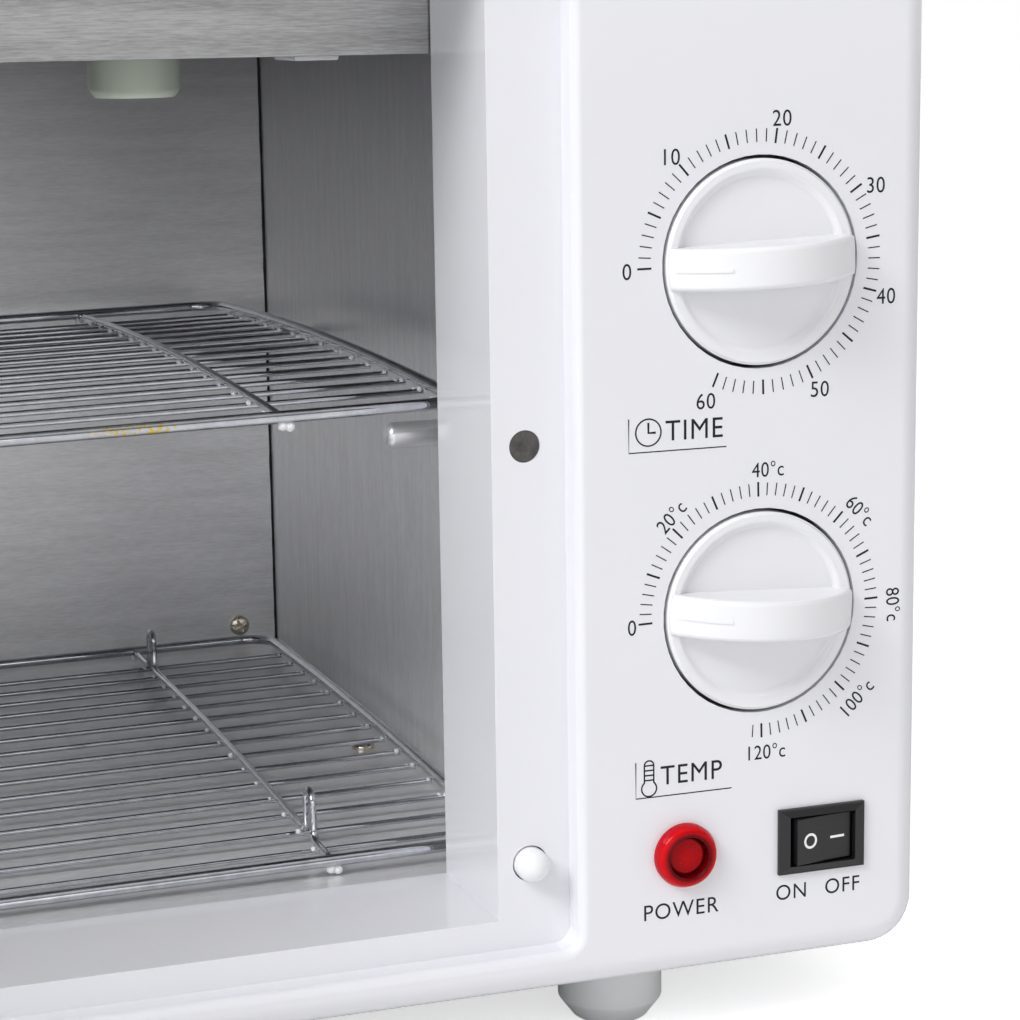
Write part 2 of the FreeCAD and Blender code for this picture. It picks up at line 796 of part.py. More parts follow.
tube_y = jamb_end + cell("tube_setback")
tube_z = opening_top - cell("tube_drop")
tube_left = chamber_mid - cell("tube_length") / 2
tube_right = chamber_mid + cell("tube_length") / 2
tube_pins = [bar(tube_left - cell("tube_pin_length"), tube_y + side, tube_z,
                 cell("tube_pin_radius"), cell("tube_length") + 2 * cell("tube_pin_length"),
                 SHANK_FLATS, ALONG_X) for side in (-2.5, 2.5)]
piece("uv_tube", fuse(rod(tube_left, tube_y, tube_z, cell("tube_radius"), cell("tube_length"),
                          ALONG_X), *tube_pins))
for name, start in (("left", tube_left - cell("holder_thick")), ("right", tube_right)):
    block = box(start, start + cell("holder_thick"), tube_y - cell("holder_depth") / 2,
                tube_y + cell("holder_depth") / 2, opening_top - cell("holder_drop"), opening_top)
    holes = [bar(start - PAST, tube_y + side, tube_z, cell("tube_pin_radius") + cell("screw_fit"),
                 cell("holder_thick") + 2 * PAST, SHANK_FLATS, ALONG_X) for side in (-2.5, 2.5)]
    piece("lamp_holder_" + name, cut(block, *holes))

starter_x = chamber_mid + cell("starter_offset")
starter_y = jamb_end + cell("starter_setback")
starter_radius = cell("starter_radius")
starter_length = cell("starter_length")
piece("starter_socket", rod(starter_x, starter_y, opening_top - cell("socket_length"),
                            starter_radius + 1.5, cell("socket_length")))
starter_profile = [(0, 0), (starter_radius, 0), (starter_radius, 2 - starter_length),
                   (starter_radius - 1.5, -starter_length), (0, -starter_length)]
stand("starter", turned(starter_profile), starter_x, starter_y,
      opening_top - cell("socket_length"))

# Heating plate under the chamber floor and the blanket round the liner

heater_top = opening_bottom - liner
piece("heating_plate", box(chamber_left + 40, chamber_right - 40, jamb_end + 30,
                           chamber_back - 30, heater_top - cell("heater_thick"), heater_top))
blanket = cell("blanket_thick")
pin_notches = [box(chamber_left - liner - blanket - PAST, chamber_right + liner + blanket + PAST,
                   y - 5, y + 5, pin_z - 5, pin_z + 5) for y in pin_rows]
piece("insulation_blanket",
      cut(box(chamber_left - liner - blanket, chamber_right + liner + blanket, jamb_end + 4,
              chamber_back, opening_bottom + 10, opening_top + liner + blanket),
          box(chamber_left - liner, chamber_right + liner, jamb_end + 4 - PAST,
              chamber_back + PAST, opening_bottom + 10 - PAST, opening_top + liner),
          *pin_notches))

# Control bracket behind the panel, with the timer and the heat control on it

bracket = box(bracket_left, bracket_right, bracket_face, bracket_face + cell("bracket_sheet"),
              bracket_bottom, bracket_top)
nose_radius = cell("shaft_radius") + 2
nose_holes = [rod(x, bracket_face - PAST, z, nose_radius + cell("panel_fit"),
                  cell("bracket_sheet") + 2 * PAST, ALONG_Y) for x, z in (time_spot, temp_spot)]
piece("control_bracket", cut(bracket, *nose_holes))

bracket_rear = bracket_face + cell("bracket_sheet")
half_body = cell("control_body") / 2
nose_length = 4.0
shaft_depth = 12.0
for name, (x, z) in (("timer", time_spot), ("heat_control", temp_spot)):
    case = box(x - half_body, x + half_body, bracket_rear, bracket_rear + cell("control_length"),
               z - half_body, z + half_body)
    nose = rod(x, bracket_face - nose_length, z, nose_radius,
               cell("bracket_sheet") + nose_length + PAST, ALONG_Y)
    bore = rod(x, bracket_face - nose_length - PAST, z, cell("shaft_radius") + cell("shaft_fit"),
               cell("bracket_sheet") + nose_length + PAST + shaft_depth, ALONG_Y)
    piece(name + "_body", cut(fuse(case, nose), bore))


# Knobs: a dished disc with an arched grip right across it, turned by a steel shaft

knob_face = 2.2


def knob():
    """A knob about its own centre, with its face towards -Y and its grip along X."""
    radius = cell("knob_radius")
    rim = cell("knob_rim")
    proud = cell("knob_proud")
    half_grip = cell("grip_width") / 2
    web_back = 4.0
    disc = turned([(0, cell("knob_dish") - proud), (radius - rim - 2, cell("knob_dish") - proud),
                   (radius - rim, -proud), (radius - 0.6, -proud), (radius, 0.6 - proud),
                   (radius, cell("knob_depth")), (radius - rim, cell("knob_depth")),
                   (radius - rim, web_back), (0, web_back)])
    put(disc, 0, 0, 0, ALONG_Y)
    sag = cell("grip_rise")
    arc_radius = (radius * radius + sag * sag) / (2 * sag)
    crest = -sag - proud
    arch = rod(0, arc_radius + crest, -half_grip, arc_radius, cell("grip_width"))
    slab = box(-radius, radius, crest - PAST, web_back - 0.1, -half_grip, half_grip)
    drum = rod(0, crest - PAST, 0, radius - 0.3, sag + 14, ALONG_Y)
    grip = common(common(arch, slab), drum)
    grip = fillet(grip, cell("grip_round"),
                  lambda at, along: near(abs(at.z), half_grip) and at.y < -1.2
                  and abs(at.x) < SIZES["knob_radius"] - 3)
    mark = common(box(-radius + 1.2, -radius + 11, crest - PAST, 3, -0.45, 0.45),
                  rod(0, arc_radius + crest - 0.3, -PAST, arc_radius, 2 * PAST))
    hub_start = 3.5
    hub = rod(0, hub_start, 0, cell("hub_radius"), cell("hub_length") - hub_start, ALONG_Y)
    bore = rod(0, knob_face, 0, cell("shaft_radius"), cell("hub_length"), ALONG_Y)
    return cut(fuse(disc, grip, mark, hub), bore)


for name, (x, z), turn in (("time", time_spot, -2.0), ("temp", temp_spot, 3.0)):
    stand(name + "_knob", knob(), x, front, z, Rotation(Vector(0, 1, 0), turn))
shaft_length = cell("bracket_back") + cell("bracket_sheet") + shaft_depth - knob_face - PAST
for name, (x, z) in (("timer", time_spot), ("heat_control", temp_spot)):
    piece(name + "_shaft", rod(x, front + knob_face, z, cell("shaft_radius"), shaft_length,
                               ALONG_Y))

# Pilot lamp: a flanged red lens on a tubular body

lens_radius = cell("lens_radius")
lens_proud = cell("lens_proud")
lens = turned([(0, -1.5), (3.6, -1.5), (4.6, -1.0), (4.6, 0.3 - lens_proud),
               (5.4, -lens_proud), (lens_radius - 0.7, 0.5 - lens_proud),
               (lens_radius, -1.2), (lens_radius, 0), (0, 0)])
stand("pilot_lens", lens, lamp_x, front, control_row, ALONG_Y)
piece("pilot_body", rod(lamp_x, front, control_row, cell("lamp_body_radius"),
                        cell("lamp_body_depth"), ALONG_Y))

# Rocker switch: bezel and body in one housing, with the rocker on a cross pivot

half_bezel = cell("bezel_width") / 2
half_switch = cell("switch_width") / 2
switch_end = front + cell("switch_depth")
bezel = box(rocker_x - half_bezel, rocker_x + half_bezel, front - cell("bezel_thick"), front,
            control_row - cell("bezel_height") / 2, control_row + cell("bezel_height") / 2)
bezel = fillet(bezel, 0.7, lambda at, along: near(at.y, front - cell("bezel_thick")))
switch_box = box(rocker_x - half_switch, rocker_x + half_switch, front - 0.5, switch_end,
                 control_row - cell("switch_height") / 2, control_row + cell("switch_height") / 2)
half_rocker = cell("rocker_width") / 2
half_high = cell("rocker_height") / 2
rocker_room = box(rocker_x - half_rocker - cell("rocker_end_gap"),
                  rocker_x + half_rocker + cell("rocker_end_gap"), front - 5, front + 8,
                  control_row - half_high - cell("rocker_gap"),
                  control_row + half_high + cell("rocker_gap"))
pivot_y = front + 0.6
pivot_reach = cell("rocker_gap") + cell("rocker_pivot_reach")
pivot_bore_end = half_high + pivot_reach + cell("rocker_pivot_fit")
pivot_bore = rod(rocker_x, pivot_y, control_row - pivot_bore_end,
                 cell("rocker_pivot_radius") + cell("rocker_pivot_fit"), pivot_bore_end * 2)
terminals = [box(rocker_x + side - 2.4, rocker_x + side + 2.4, switch_end - 0.5, switch_end + 8,
                 control_row - 0.4, control_row + 0.4) for side in (-5, 5)]
piece("rocker_housing", cut(fuse(bezel, switch_box, *terminals), rocker_room, pivot_bore))

rocker_body = padded([(-half_rocker, -3.4), (0, -2.2), (half_rocker, -3.4),
                      (half_rocker - 0.6, 1.4), (3.0, 4.4), (-3.0, 4.4),
                      (-half_rocker + 0.6, 1.4)], cell("rocker_height"))
pivot = rod(0, 0, -pivot_reach, cell("rocker_pivot_radius"),
            cell("rocker_height") + pivot_reach * 2)
stand("rocker", fuse(rocker_body, pivot), rocker_x, pivot_y, control_row - half_high,
      Rotation(Vector(0, 0, 1), SIZES["rocker_tilt"]))

# Door catch magnet and the door switch with its domed plunger

piece("catch_magnet", rod(catch_x, land + cell("magnet_sunk"), magnet_z,
                          cell("magnet_radius"), cell("magnet_length"), ALONG_Y))
switch_face = land + wall
switch_case = rod(catch_x, switch_face, plunger_z, cell("switch_body_radius"),
                  cell("switch_body_length"), ALONG_Y)
case_bore = rod(catch_x, switch_face - PAST, plunger_z,
                cell("plunger_radius") + cell("plunger_fit"),
                cell("switch_body_length") - 3, ALONG_Y)
piece("door_switch_body", cut(switch_case, case_bore))
dome = cell("plunger_radius")
plunger_profile = [(0, 0), (dome * 0.38, dome * 0.08), (dome * 0.71, dome * 0.29),
                   (dome * 0.92, dome * 0.61), (dome, dome),
                   (dome, cell("plunger_length")), (0, cell("plunger_length"))]
stand("door_plunger", turned(plunger_profile), catch_x, land - cell("plunger_proud"),
      plunger_z, ALONG_Y)

# Feet: turned plastic feet, each held by a screw from below

foot_radius = cell("foot_radius")
foot_seat = cell("foot_recess")
head_room = 5.0
for name, (x, y) in foot_spots.items():
    foot = turned([(0, foot_seat), (head_room, foot_seat), (head_room, 0),
                   (foot_radius - cell("foot_bevel") * 0.75, 0), (foot_radius, cell("foot_bevel")),
                   (foot_radius, cell("foot_height")), (0, cell("foot_height"))])
    shank_hole = bar(0, 0, foot_seat - PAST, foot_bore, cell("foot_height"), SHANK_FLATS)
    stand("foot_" + name, cut(foot, shank_hole), x, y, 0)
foot_screws = [fuse(bar(x, y, foot_seat - 2.5, 4, 2.5, HEAD_FLATS),
                    bar(x, y, foot_seat - 0.5, cell("foot_screw_radius"),
                        cell("foot_height") - foot_seat + 4, SHANK_FLATS))
               for x, y in foot_spots.values()]
piece("foot_screws", group(*foot_screws))

# Inner electrics: the lamp's ballast and the terminal block on the base plate

electrics_left = body_right - cell("electrics_inset")
ballast_front = front + cell("ballast_setback")
block_rear = rear - cell("block_setback")
piece("lamp_ballast", box(electrics_left, electrics_left + cell("ballast_width"), ballast_front,
                          ballast_front + cell("ballast_length"), deck,
                          deck + cell("ballast_height")))
piece("terminal_block", box(electrics_left, electrics_left + cell("block_width"),
                            block_rear - cell("block_length"), block_rear, deck,
                            deck + cell("block_height")))

# Door: modelled closed in the recess and then swung open about its hinge axis

door_left = recess_left + cell("door_gap")
door_right = recess_right - cell("door_gap")
door_bottom = recess_bottom + cell("door_end_gap")
door_top = recess_top - cell("door_end_gap")
door_face = front - cell("door_proud")
door_back = front + cell("door_inner")
door_wall = cell("door_wall")
axis_x = recess_left + cell("hinge_inset")
axis_y = front - cell("hinge_front")
border = cell("door_border")
window_left, window_right = door_left + border, door_right - border
window_bottom, window_top = door_bottom + border, door_top - border
glass_front = front - cell("glass_thick")


def swung(name, thing):
    """A door piece turned with the open door about the hinge axis."""
    doc.recompute()
    moved = group(thing)
    angle = math.radians(SIZES["door_open_angle"])
    spot_x = axis_x - (axis_x * math.cos(angle) + axis_y * math.sin(angle))
    spot_y = axis_y - (axis_y * math.cos(angle) - axis_x * math.sin(angle))
    return stand(name, moved, spot_x, spot_y, 0,
                 Rotation(Vector(0, 0, 1), -SIZES["door_open_angle"]))


def window_block(y0, y1, grow):
    """A block the size of the window, grown all round."""
    return box(window_left - grow, window_right + grow, y0, y1,
               window_bottom - grow, window_top + grow)


slab = round_block(door_left, door_right, door_face, front, door_bottom, door_top,
                   cell("door_corner"))
slab = fillet(slab, cell("door_round"), lambda at, along: near(at.y, door_face))
hollow = box(door_left + door_wall, door_right - door_wall, door_face + door_wall, front + PAST,
             door_bottom + door_wall, door_top - door_wall)
lip = window_block(door_face + door_wall - 0.5, glass_front, cell("window_lip"))
window = round_block(window_left, window_right, door_face - PAST, door_back + PAST,
                     window_bottom, window_top, cell("window_corner"))
bush_room = cell("bush_length") + PAST
bush_blocks = [box(door_left + PAST, axis_x + 8, axis_y - 5, front, z0, z0 + bush_room)
               for z0 in (door_bottom, door_top - bush_room)]
bush_bores = [rod(axis_x, axis_y, z0, cell("bush_radius"), bush_room)
              for z0 in (door_bottom - PAST, door_top - cell("bush_length"))]
handle_x = door_right - border / 2
handle_z = (door_bottom + door_top) / 2
half_handle = cell("handle_length") / 2
arm_rises = [handle_z + side * (half_handle - cell("handle_arm_inset")) for side in (-1, 1)]
arm_holes = [screw_hole(handle_x, door_face - PAST, z, door_wall + 2 * PAST, ALONG_Y)
             for z in arm_rises]
swung("door_outer_frame", cut(fuse(cut(slab, hollow), lip, *bush_blocks), window,
                              *bush_bores, *arm_holes))
swung("door_glass", window_block(glass_front, front, cell("window_lip") - cell("glass_fit")))

inset = cell("door_inner_inset")
inner_plate = round_block(door_left + inset, door_right - inset, front, door_back,
                          door_bottom + inset, door_top - inset, cell("door_corner"))
switch_pocket = rod(catch_x, front - PAST, plunger_z, cell("plunger_radius") + 0.8,
                    cell("door_inner") + 2 * PAST, ALONG_Y)
strike_left = catch_x - cell("magnet_radius")
strike_right = catch_x + cell("magnet_radius")
strike_bottom = magnet_z - cell("strike_height") / 2
strike_top = magnet_z + cell("strike_height") / 2
strike_back = door_back + cell("seal_thick")
strike_bed = box(strike_left, strike_right, door_back - cell("strike_bed"), door_back + PAST,
                 strike_bottom, strike_top)
swung("door_inner_frame", cut(inner_plate, window, switch_pocket, strike_bed))
swung("strike_plate", box(strike_left, strike_right, door_back - cell("strike_bed"), strike_back,
                          strike_bottom, strike_top))


def seal_block(grow, y0, y1):
    """A block the size of the opening, grown all round."""
    return box(opening_left - grow, opening_right + grow, y0, y1,
               opening_bottom - grow, opening_top + grow)


seal_inner = cell("seal_start")
seal_outer = cell("seal_start") + cell("seal_width")
swung("door_gasket", cut(seal_block(seal_outer, door_back, strike_back),
                         seal_block(seal_inner, door_back - PAST, strike_back + PAST)))

bush_bore = cell("hinge_pin_radius") + cell("hinge_fit")
bushes = [cut(rod(axis_x, axis_y, z0, cell("bush_radius"), cell("bush_length")),
              rod(axis_x, axis_y, z0 - PAST, bush_bore, cell("bush_length") + 2 * PAST))
          for z0 in (door_bottom, door_top - cell("bush_length"))]
swung("hinge_bushes", group(*bushes))

bar_y = door_face - cell("handle_reach")
grip_bar = rod(handle_x, bar_y, handle_z - half_handle, cell("handle_radius"),
               cell("handle_length"))
arms = [rod(handle_x, bar_y, z, cell("handle_arm_radius"), cell("handle_reach"), ALONG_Y)
        for z in arm_rises]
thread_room = [screw_hole(handle_x, door_face - 6, z, 6 + PAST, ALONG_Y) for z in arm_rises]
swung("door_handle", cut(fuse(grip_bar, *arms), *thread_room))
swung("handle_screws", group(*[screw(handle_x, door_face + door_wall, z, ALONG_Y, 8)
                               for z in arm_rises]))

# Hinge plates on the recess's end walls, each with a riveted pin

leaf_left = recess_left + cell("recess_corner") + 0.2
leaf_right = axis_x + cell("hinge_pin_radius") + 7
leaf_front = axis_y - cell("hinge_pin_radius") - 4
plate = cell("hinge_plate")
pin_length = cell("hinge_pin_length")
for name, z0, pin_start in (("bottom", recess_bottom, recess_bottom),
                            ("top", recess_top - plate, recess_top - pin_length)):
    leaf = box(leaf_left, leaf_right, leaf_front, land - 0.3, z0, z0 + plate)
    seat = rod(axis_x, axis_y, z0 - PAST, cell("hinge_pin_radius"), plate + 2 * PAST)
    piece("hinge_plate_" + name, cut(leaf, seat))
    piece("hinge_pin_" + name, rod(axis_x, axis_y, pin_start, cell("hinge_pin_radius"),
                                   pin_length))

# Build, test and write every piece

doc.recompute()
failed = [one.Label for one in doc.Objects if "Invalid" in one.State or "Error" in one.State]
if failed:
    raise RuntimeError("these did not build: %s" % failed)
os.makedirs("parts", exist_ok=True)
for name, thing in pieces.items():
    shape = thing.Shape
    if shape.isNull() or not shape.isValid():
        raise RuntimeError("%s has no sound shape" % name)
    shape.exportStep("parts/%s.step" % name)
    print("%-22s %3d solids %10.1f mm3" % (name, len(shape.Solids), shape.Volume))
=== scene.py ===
import json
import math
import random

import bmesh
import bpy
from mathutils import Matrix, Vector


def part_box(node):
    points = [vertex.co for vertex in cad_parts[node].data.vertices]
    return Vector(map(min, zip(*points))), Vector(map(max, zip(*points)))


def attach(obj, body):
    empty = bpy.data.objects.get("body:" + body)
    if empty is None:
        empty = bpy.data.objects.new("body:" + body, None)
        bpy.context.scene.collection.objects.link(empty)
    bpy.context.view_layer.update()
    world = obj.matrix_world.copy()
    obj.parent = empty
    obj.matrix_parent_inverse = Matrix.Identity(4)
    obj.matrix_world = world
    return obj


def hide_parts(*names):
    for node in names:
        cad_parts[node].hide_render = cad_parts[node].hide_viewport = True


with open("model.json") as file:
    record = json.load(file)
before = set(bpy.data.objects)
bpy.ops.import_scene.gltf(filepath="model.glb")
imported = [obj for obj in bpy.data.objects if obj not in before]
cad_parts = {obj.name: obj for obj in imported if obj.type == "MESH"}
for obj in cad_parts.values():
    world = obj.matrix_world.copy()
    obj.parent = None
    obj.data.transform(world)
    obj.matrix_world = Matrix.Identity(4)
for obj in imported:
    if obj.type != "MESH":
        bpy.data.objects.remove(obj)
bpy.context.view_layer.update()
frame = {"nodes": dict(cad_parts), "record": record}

# The camera stands left of the column and a little under the cabinet's top, and looks slightly
# down and to the right, so that the chamber's right wall and the control face both show.

camera_lens = bpy.data.cameras.new("camera")
camera_lens.sensor_width = 36.0
camera_lens.lens = 95.017
camera = bpy.data.objects.new("camera", camera_lens)
camera.location = (-0.05758, -0.67408, 0.23103)
camera.rotation_euler = [math.radians(angle) for angle in (79.256, 0.806, -19.692)]
bpy.context.collection.objects.link(camera)
bpy.context.scene.camera = camera
bpy.context.scene.view_settings.view_transform = "Standard"

# Moulded front: one thick-walled gloss white moulding with the door recess, the jamb and the
# control face. Its tool marks are a faint orange peel, and its edges are softly rounded.

MM = 0.001
FLAT = math.radians(0.2)
record = frame["record"]
body_of = {node: body for body, nodes in record["behaviour"]["bodies"].items() for node in nodes}
slot_of = {part["node"]: part["material_slot"] for part in record["subparts"]}


def add(tree, kind, inputs=(), **settings):
    """A node of a tree with its settings and inputs; an input that is a socket is linked."""
    made = tree.nodes.new(kind)
    for key, value in settings.items():
        setattr(made, key, value)
    for key, value in dict(inputs).items():
        if isinstance(value, bpy.types.NodeSocket):
            tree.links.new(value, made.inputs[key])
        else:
            made.inputs[key].default_value = value
    return made


def new_group(name, kind, inputs, outputs):
    """An empty node group with named inputs and outputs, and its two end nodes."""
    tree = bpy.data.node_groups.new(name, kind)
    for side, sockets in (("INPUT", inputs), ("OUTPUT", outputs)):
        for label, socket, *value in sockets:
            made = tree.interface.new_socket(label, in_out=side, socket_type="NodeSocket" + socket)
            if value:
                made.default_value = value[0]
    return tree, tree.nodes.new("NodeGroupInput").outputs, tree.nodes.new("NodeGroupOutput").inputs


def mesh_of(shape, name):
    """A mesh from a shape in edit form, which is freed."""
    mesh = bpy.data.meshes.new(name)
    shape.to_mesh(mesh)
    shape.free()
    return mesh


def reach_of(verts):
    """The lowest and the highest corner about some points."""
    return [Vector([pick(vert.co[axis] for vert in verts) for axis in range(3)])
            for pick in (min, max)]


def maths(tree, operation, *values):
    """The result of a Math node."""
    return add(tree, "ShaderNodeMath", dict(enumerate(values)), operation=operation).outputs[0]


def blend_colour(tree, amount, low, high, way="MIX"):
    """The result of a colour mix."""
    return add(tree, "ShaderNodeMix", {0: amount, 6: low, 7: high}, data_type="RGBA",
               blend_type=way).outputs[2]


def noise(tree, where, scale, detail=2.0, rough=0.5):
    """The value of a noise texture."""
    return add(tree, "ShaderNodeTexNoise", {"Vector": where, "Scale": scale, "Detail": detail,
                                            "Roughness": rough}).outputs["Fac"]


def tinted(tree, shader, amount, low, high):
    """Feeds a mix of two colours to a shader."""
    tree.links.new(blend_colour(tree, amount, (*low, 1), (*high, 1)), shader["Base Color"])


# Orange peel and slow unevenness of a moulded or painted skin
peel, into, out = new_group("moulded_skin", "ShaderNodeTree",
                            [("Vector", "Vector"), ("Peel", "Float", 1.0),
                             ("Low", "Float", 0.1), ("High", "Float", 0.2)],
                            [("Height", "Float"), ("Roughness", "Float"), ("Cloud", "Float")])
fine = noise(peel, into["Vector"], 1400.0, 2.0)
slow = noise(peel, into["Vector"], 60.0, 2.0)
cloud = noise(peel, into["Vector"], 22.0, 3.0, 0.6)
peel.links.new(maths(peel, "MULTIPLY", maths(peel, "ADD", fine, slow), into["Peel"]),
               out["Height"])
span = add(peel, "ShaderNodeMapRange", {"Value": cloud, "From Min": 0.3, "From Max": 0.7,
                                        "To Min": into["Low"], "To Max": into["High"]})
peel.links.new(span.outputs[0], out["Roughness"])
peel.links.new(cloud, out["Cloud"])


def finish(name, roughness=0.5, metallic=0.0, **fixed):
    """A new material, its tree, its shader and the place that it reads."""
    material = bpy.data.materials.new(name)
    material.use_nodes = True
    tree = material.node_tree
    shader = tree.nodes["Principled BSDF"].inputs
    shader["Roughness"].default_value = roughness
    shader["Metallic"].default_value = metallic
    for label, value in fixed.items():
        shader[label.replace("_", " ")].default_value = value
    where = tree.nodes.new("ShaderNodeTexCoord").outputs["Object"]
    return material, tree, shader, where


def raised(tree, shader, height, strength, depth):
    """Feeds a height to a shader's normal."""
    bump = add(tree, "ShaderNodeBump", {"Height": height, "Strength": strength,
                                        "Distance": depth})
    tree.links.new(bump.outputs[0], shader["Normal"])


def moulded(name, low, high, peel_height=1.0, rough=(0.1, 0.2), depth=0.00002, **fixed):
    """A moulded or painted skin between two shades."""
    material, tree, shader, where = finish(name, **fixed)
    skin = add(tree, "ShaderNodeGroup", node_tree=peel)
    tree.links.new(where, skin.inputs["Vector"])
    skin.inputs["Peel"].default_value = peel_height
    skin.inputs["Low"].default_value, skin.inputs["High"].default_value = rough
    tinted(tree, shader, skin.outputs["Cloud"], low, high)
    tree.links.new(skin.outputs["Roughness"], shader["Roughness"])
    raised(tree, shader, skin.outputs["Height"], 0.35, depth)
    return material


def show(name, mesh, body, slot, *replaced):
    """A finished mesh as a piece that rides on a body, in the place of these nodes."""
    piece = bpy.data.objects.new(name, mesh)
    bpy.context.collection.objects.link(piece)
    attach(piece, body)
    if replaced:
        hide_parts(*replaced)
    return piece


def smoothed(mesh, corner=32.0):
    """Shades a mesh smooth, with a crease wherever two faces meet at more than this angle."""
    shape = bmesh.new()
    shape.from_mesh(mesh)
    for face in shape.faces:
        face.smooth = True
    for edge in shape.edges:
        edge.smooth = len(edge.link_faces) == 2 and edge.calc_face_angle() < math.radians(corner)
    shape.to_mesh(mesh)
    shape.free()


def made_plain(carrier):
    """The plain mesh that an object shows, whose object is removed."""
    graph = bpy.context.evaluated_depsgraph_get()
    result = bpy.data.meshes.new_from_object(carrier.evaluated_get(graph))
    bpy.data.objects.remove(carrier)
    return result


def settled(mesh, kind, **values):
    """A mesh with a modifier carried out on it."""
    carrier = bpy.data.objects.new("carrier", mesh)
    bpy.context.collection.objects.link(carrier)
    modifier = carrier.modifiers.new(kind, kind)
    for key, value in values.items():
        setattr(modifier, key, value)
    return made_plain(carrier)


def merged(node, reshape=None):
    """A copy of a node's loose triangles, joined and with its flats made whole."""
    shape = bmesh.new()
    shape.from_mesh(frame["nodes"][node].data)
    bmesh.ops.remove_doubles(shape, verts=shape.verts, dist=2e-6)
    bmesh.ops.dissolve_degenerate(shape, edges=shape.edges, dist=1e-6)
    if reshape:
        reshape(shape)
    bmesh.ops.dissolve_limit(shape, angle_limit=FLAT, verts=shape.verts, edges=shape.edges)
    return mesh_of(shape, node)


def dress(node, material, corner=32.0, edge=0.0, reshape=None):
    """Shows a joined, softly shaded copy of a node; an edge is the width of its bevels."""
    mesh = merged(node, reshape)
    if edge:
        mesh = settled(mesh, "BEVEL", width=edge * MM, segments=2, limit_method="ANGLE",
                       angle_limit=math.radians(corner), harden_normals=False)
    smoothed(mesh, corner)
    mesh = settled(mesh, "WEIGHTED_NORMAL", keep_sharp=True, weight=80)
    mesh.materials.clear()
    mesh.materials.append(material)
    for face in mesh.polygons:
        face.material_index = 0
    return show(node + "_form", mesh, body_of[node], slot_of[node], node)


def coat(material, *nodes):
    """Gives nodes that stay as they are a finish."""
    for node in nodes:
        for spot in frame["nodes"][node].material_slots:
            spot.material = material


housing_white = moulded("housing_white", (0.765, 0.765, 0.805), (0.785, 0.785, 0.825),
                        rough=(0.09, 0.15), Coat_Weight=0.15, Coat_Roughness=0.05)
dress("front_frame", housing_white)

# Print on the control face: black screen print, with two scales of fine ticks, their numbers,
# a clock, a thermometer and plain words. The place above the upper scale stays bare.

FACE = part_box("front_frame")[0].y
INK_LIFT = 0.03 * MM
INK_THICK = 0.05 * MM
TIME_DIAL = (185.0 * MM, 175.3 * MM)
TEMP_DIAL = (185.0 * MM, 99.2 * MM)
ink = moulded("print_ink", (0.006, 0.006, 0.009), (0.016, 0.016, 0.02), rough=(0.4, 0.55),
              Specular_IOR_Level=0.25)


def grown(tree, carrier_mesh=None, **values):
    """The plain mesh that a node tree makes with these inputs."""
    carrier = bpy.data.objects.new("carrier", carrier_mesh or bpy.data.meshes.new("carrier"))
    bpy.context.collection.objects.link(carrier)
    modifier = carrier.modifiers.new("grow", "NODES")
    modifier.node_group = tree
    for item in tree.interface.items_tree:
        if item.in_out == "INPUT" and item.name in values:
            modifier[item.identifier] = values[item.name]
    return made_plain(carrier)


def grown_out(tree, geometry, material, out):
    """Ends a tree in real geometry of one material."""
    real = add(tree, "GeometryNodeRealizeInstances", {0: geometry}).outputs[0]
    real = add(tree, "GeometryNodeSetMaterial", {0: real, "Material": material}).outputs[0]
    tree.links.new(real, out[0])


def joined(name, meshes, material=None):
    """Several meshes as one."""
    shape = bmesh.new()
    materials = []
    for mesh in meshes:
        start = len(shape.faces)
        shape.from_mesh(mesh)
        shape.faces.ensure_lookup_table()
        own = material or mesh.materials[0]
        if own not in materials:
            materials.append(own)
        for face in shape.faces[start:]:
            face.material_index = materials.index(own)
    mesh = mesh_of(shape, name)
    for own in materials:
        mesh.materials.append(own)
    return mesh


ticks, into, out = new_group(
    "tick_ring", "GeometryNodeTree",
    [("Geometry", "Geometry"), ("Count", "Int", 61), ("Radius", "Float"), ("Start", "Float"),
     ("Step", "Float"), ("Long_Every", "Int", 5), ("Short", "Vector"), ("Long", "Vector"),
     ("Material", "Material")], [("Geometry", "Geometry")])
index = add(ticks, "GeometryNodeInputIndex").outputs[0]
angle = maths(ticks, "ADD", maths(ticks, "MULTIPLY", index, into["Step"]), into["Start"])
spot = add(ticks, "ShaderNodeCombineXYZ", {
    0: maths(ticks, "MULTIPLY", maths(ticks, "COSINE", angle),
             maths(ticks, "MULTIPLY", into["Radius"], -1.0)),
    2: maths(ticks, "MULTIPLY", maths(ticks, "SINE", angle), into["Radius"])}).outputs[0]
is_long = add(ticks, "FunctionNodeCompare",
              {0: maths(ticks, "MODULO", index, into["Long_Every"]), 1: 0.5},
              data_type="FLOAT", operation="LESS_THAN").outputs[0]
size = add(ticks, "GeometryNodeSwitch", {"Switch": is_long, "False": into["Short"],
                                         "True": into["Long"]}, input_type="VECTOR").outputs[0]
points = add(ticks, "GeometryNodePoints", {"Count": into["Count"], "Position": spot}).outputs[0]
stroke = add(ticks, "GeometryNodeMeshCube", {"Size": (1.0, 1.0, 1.0)}).outputs[0]
turn = add(ticks, "ShaderNodeCombineXYZ", {1: angle}).outputs[0]
placed = add(ticks, "GeometryNodeInstanceOnPoints",
             {"Points": points, "Instance": stroke, "Rotation": turn, "Scale": size}).outputs[0]
grown_out(ticks, placed, into["Material"], out)


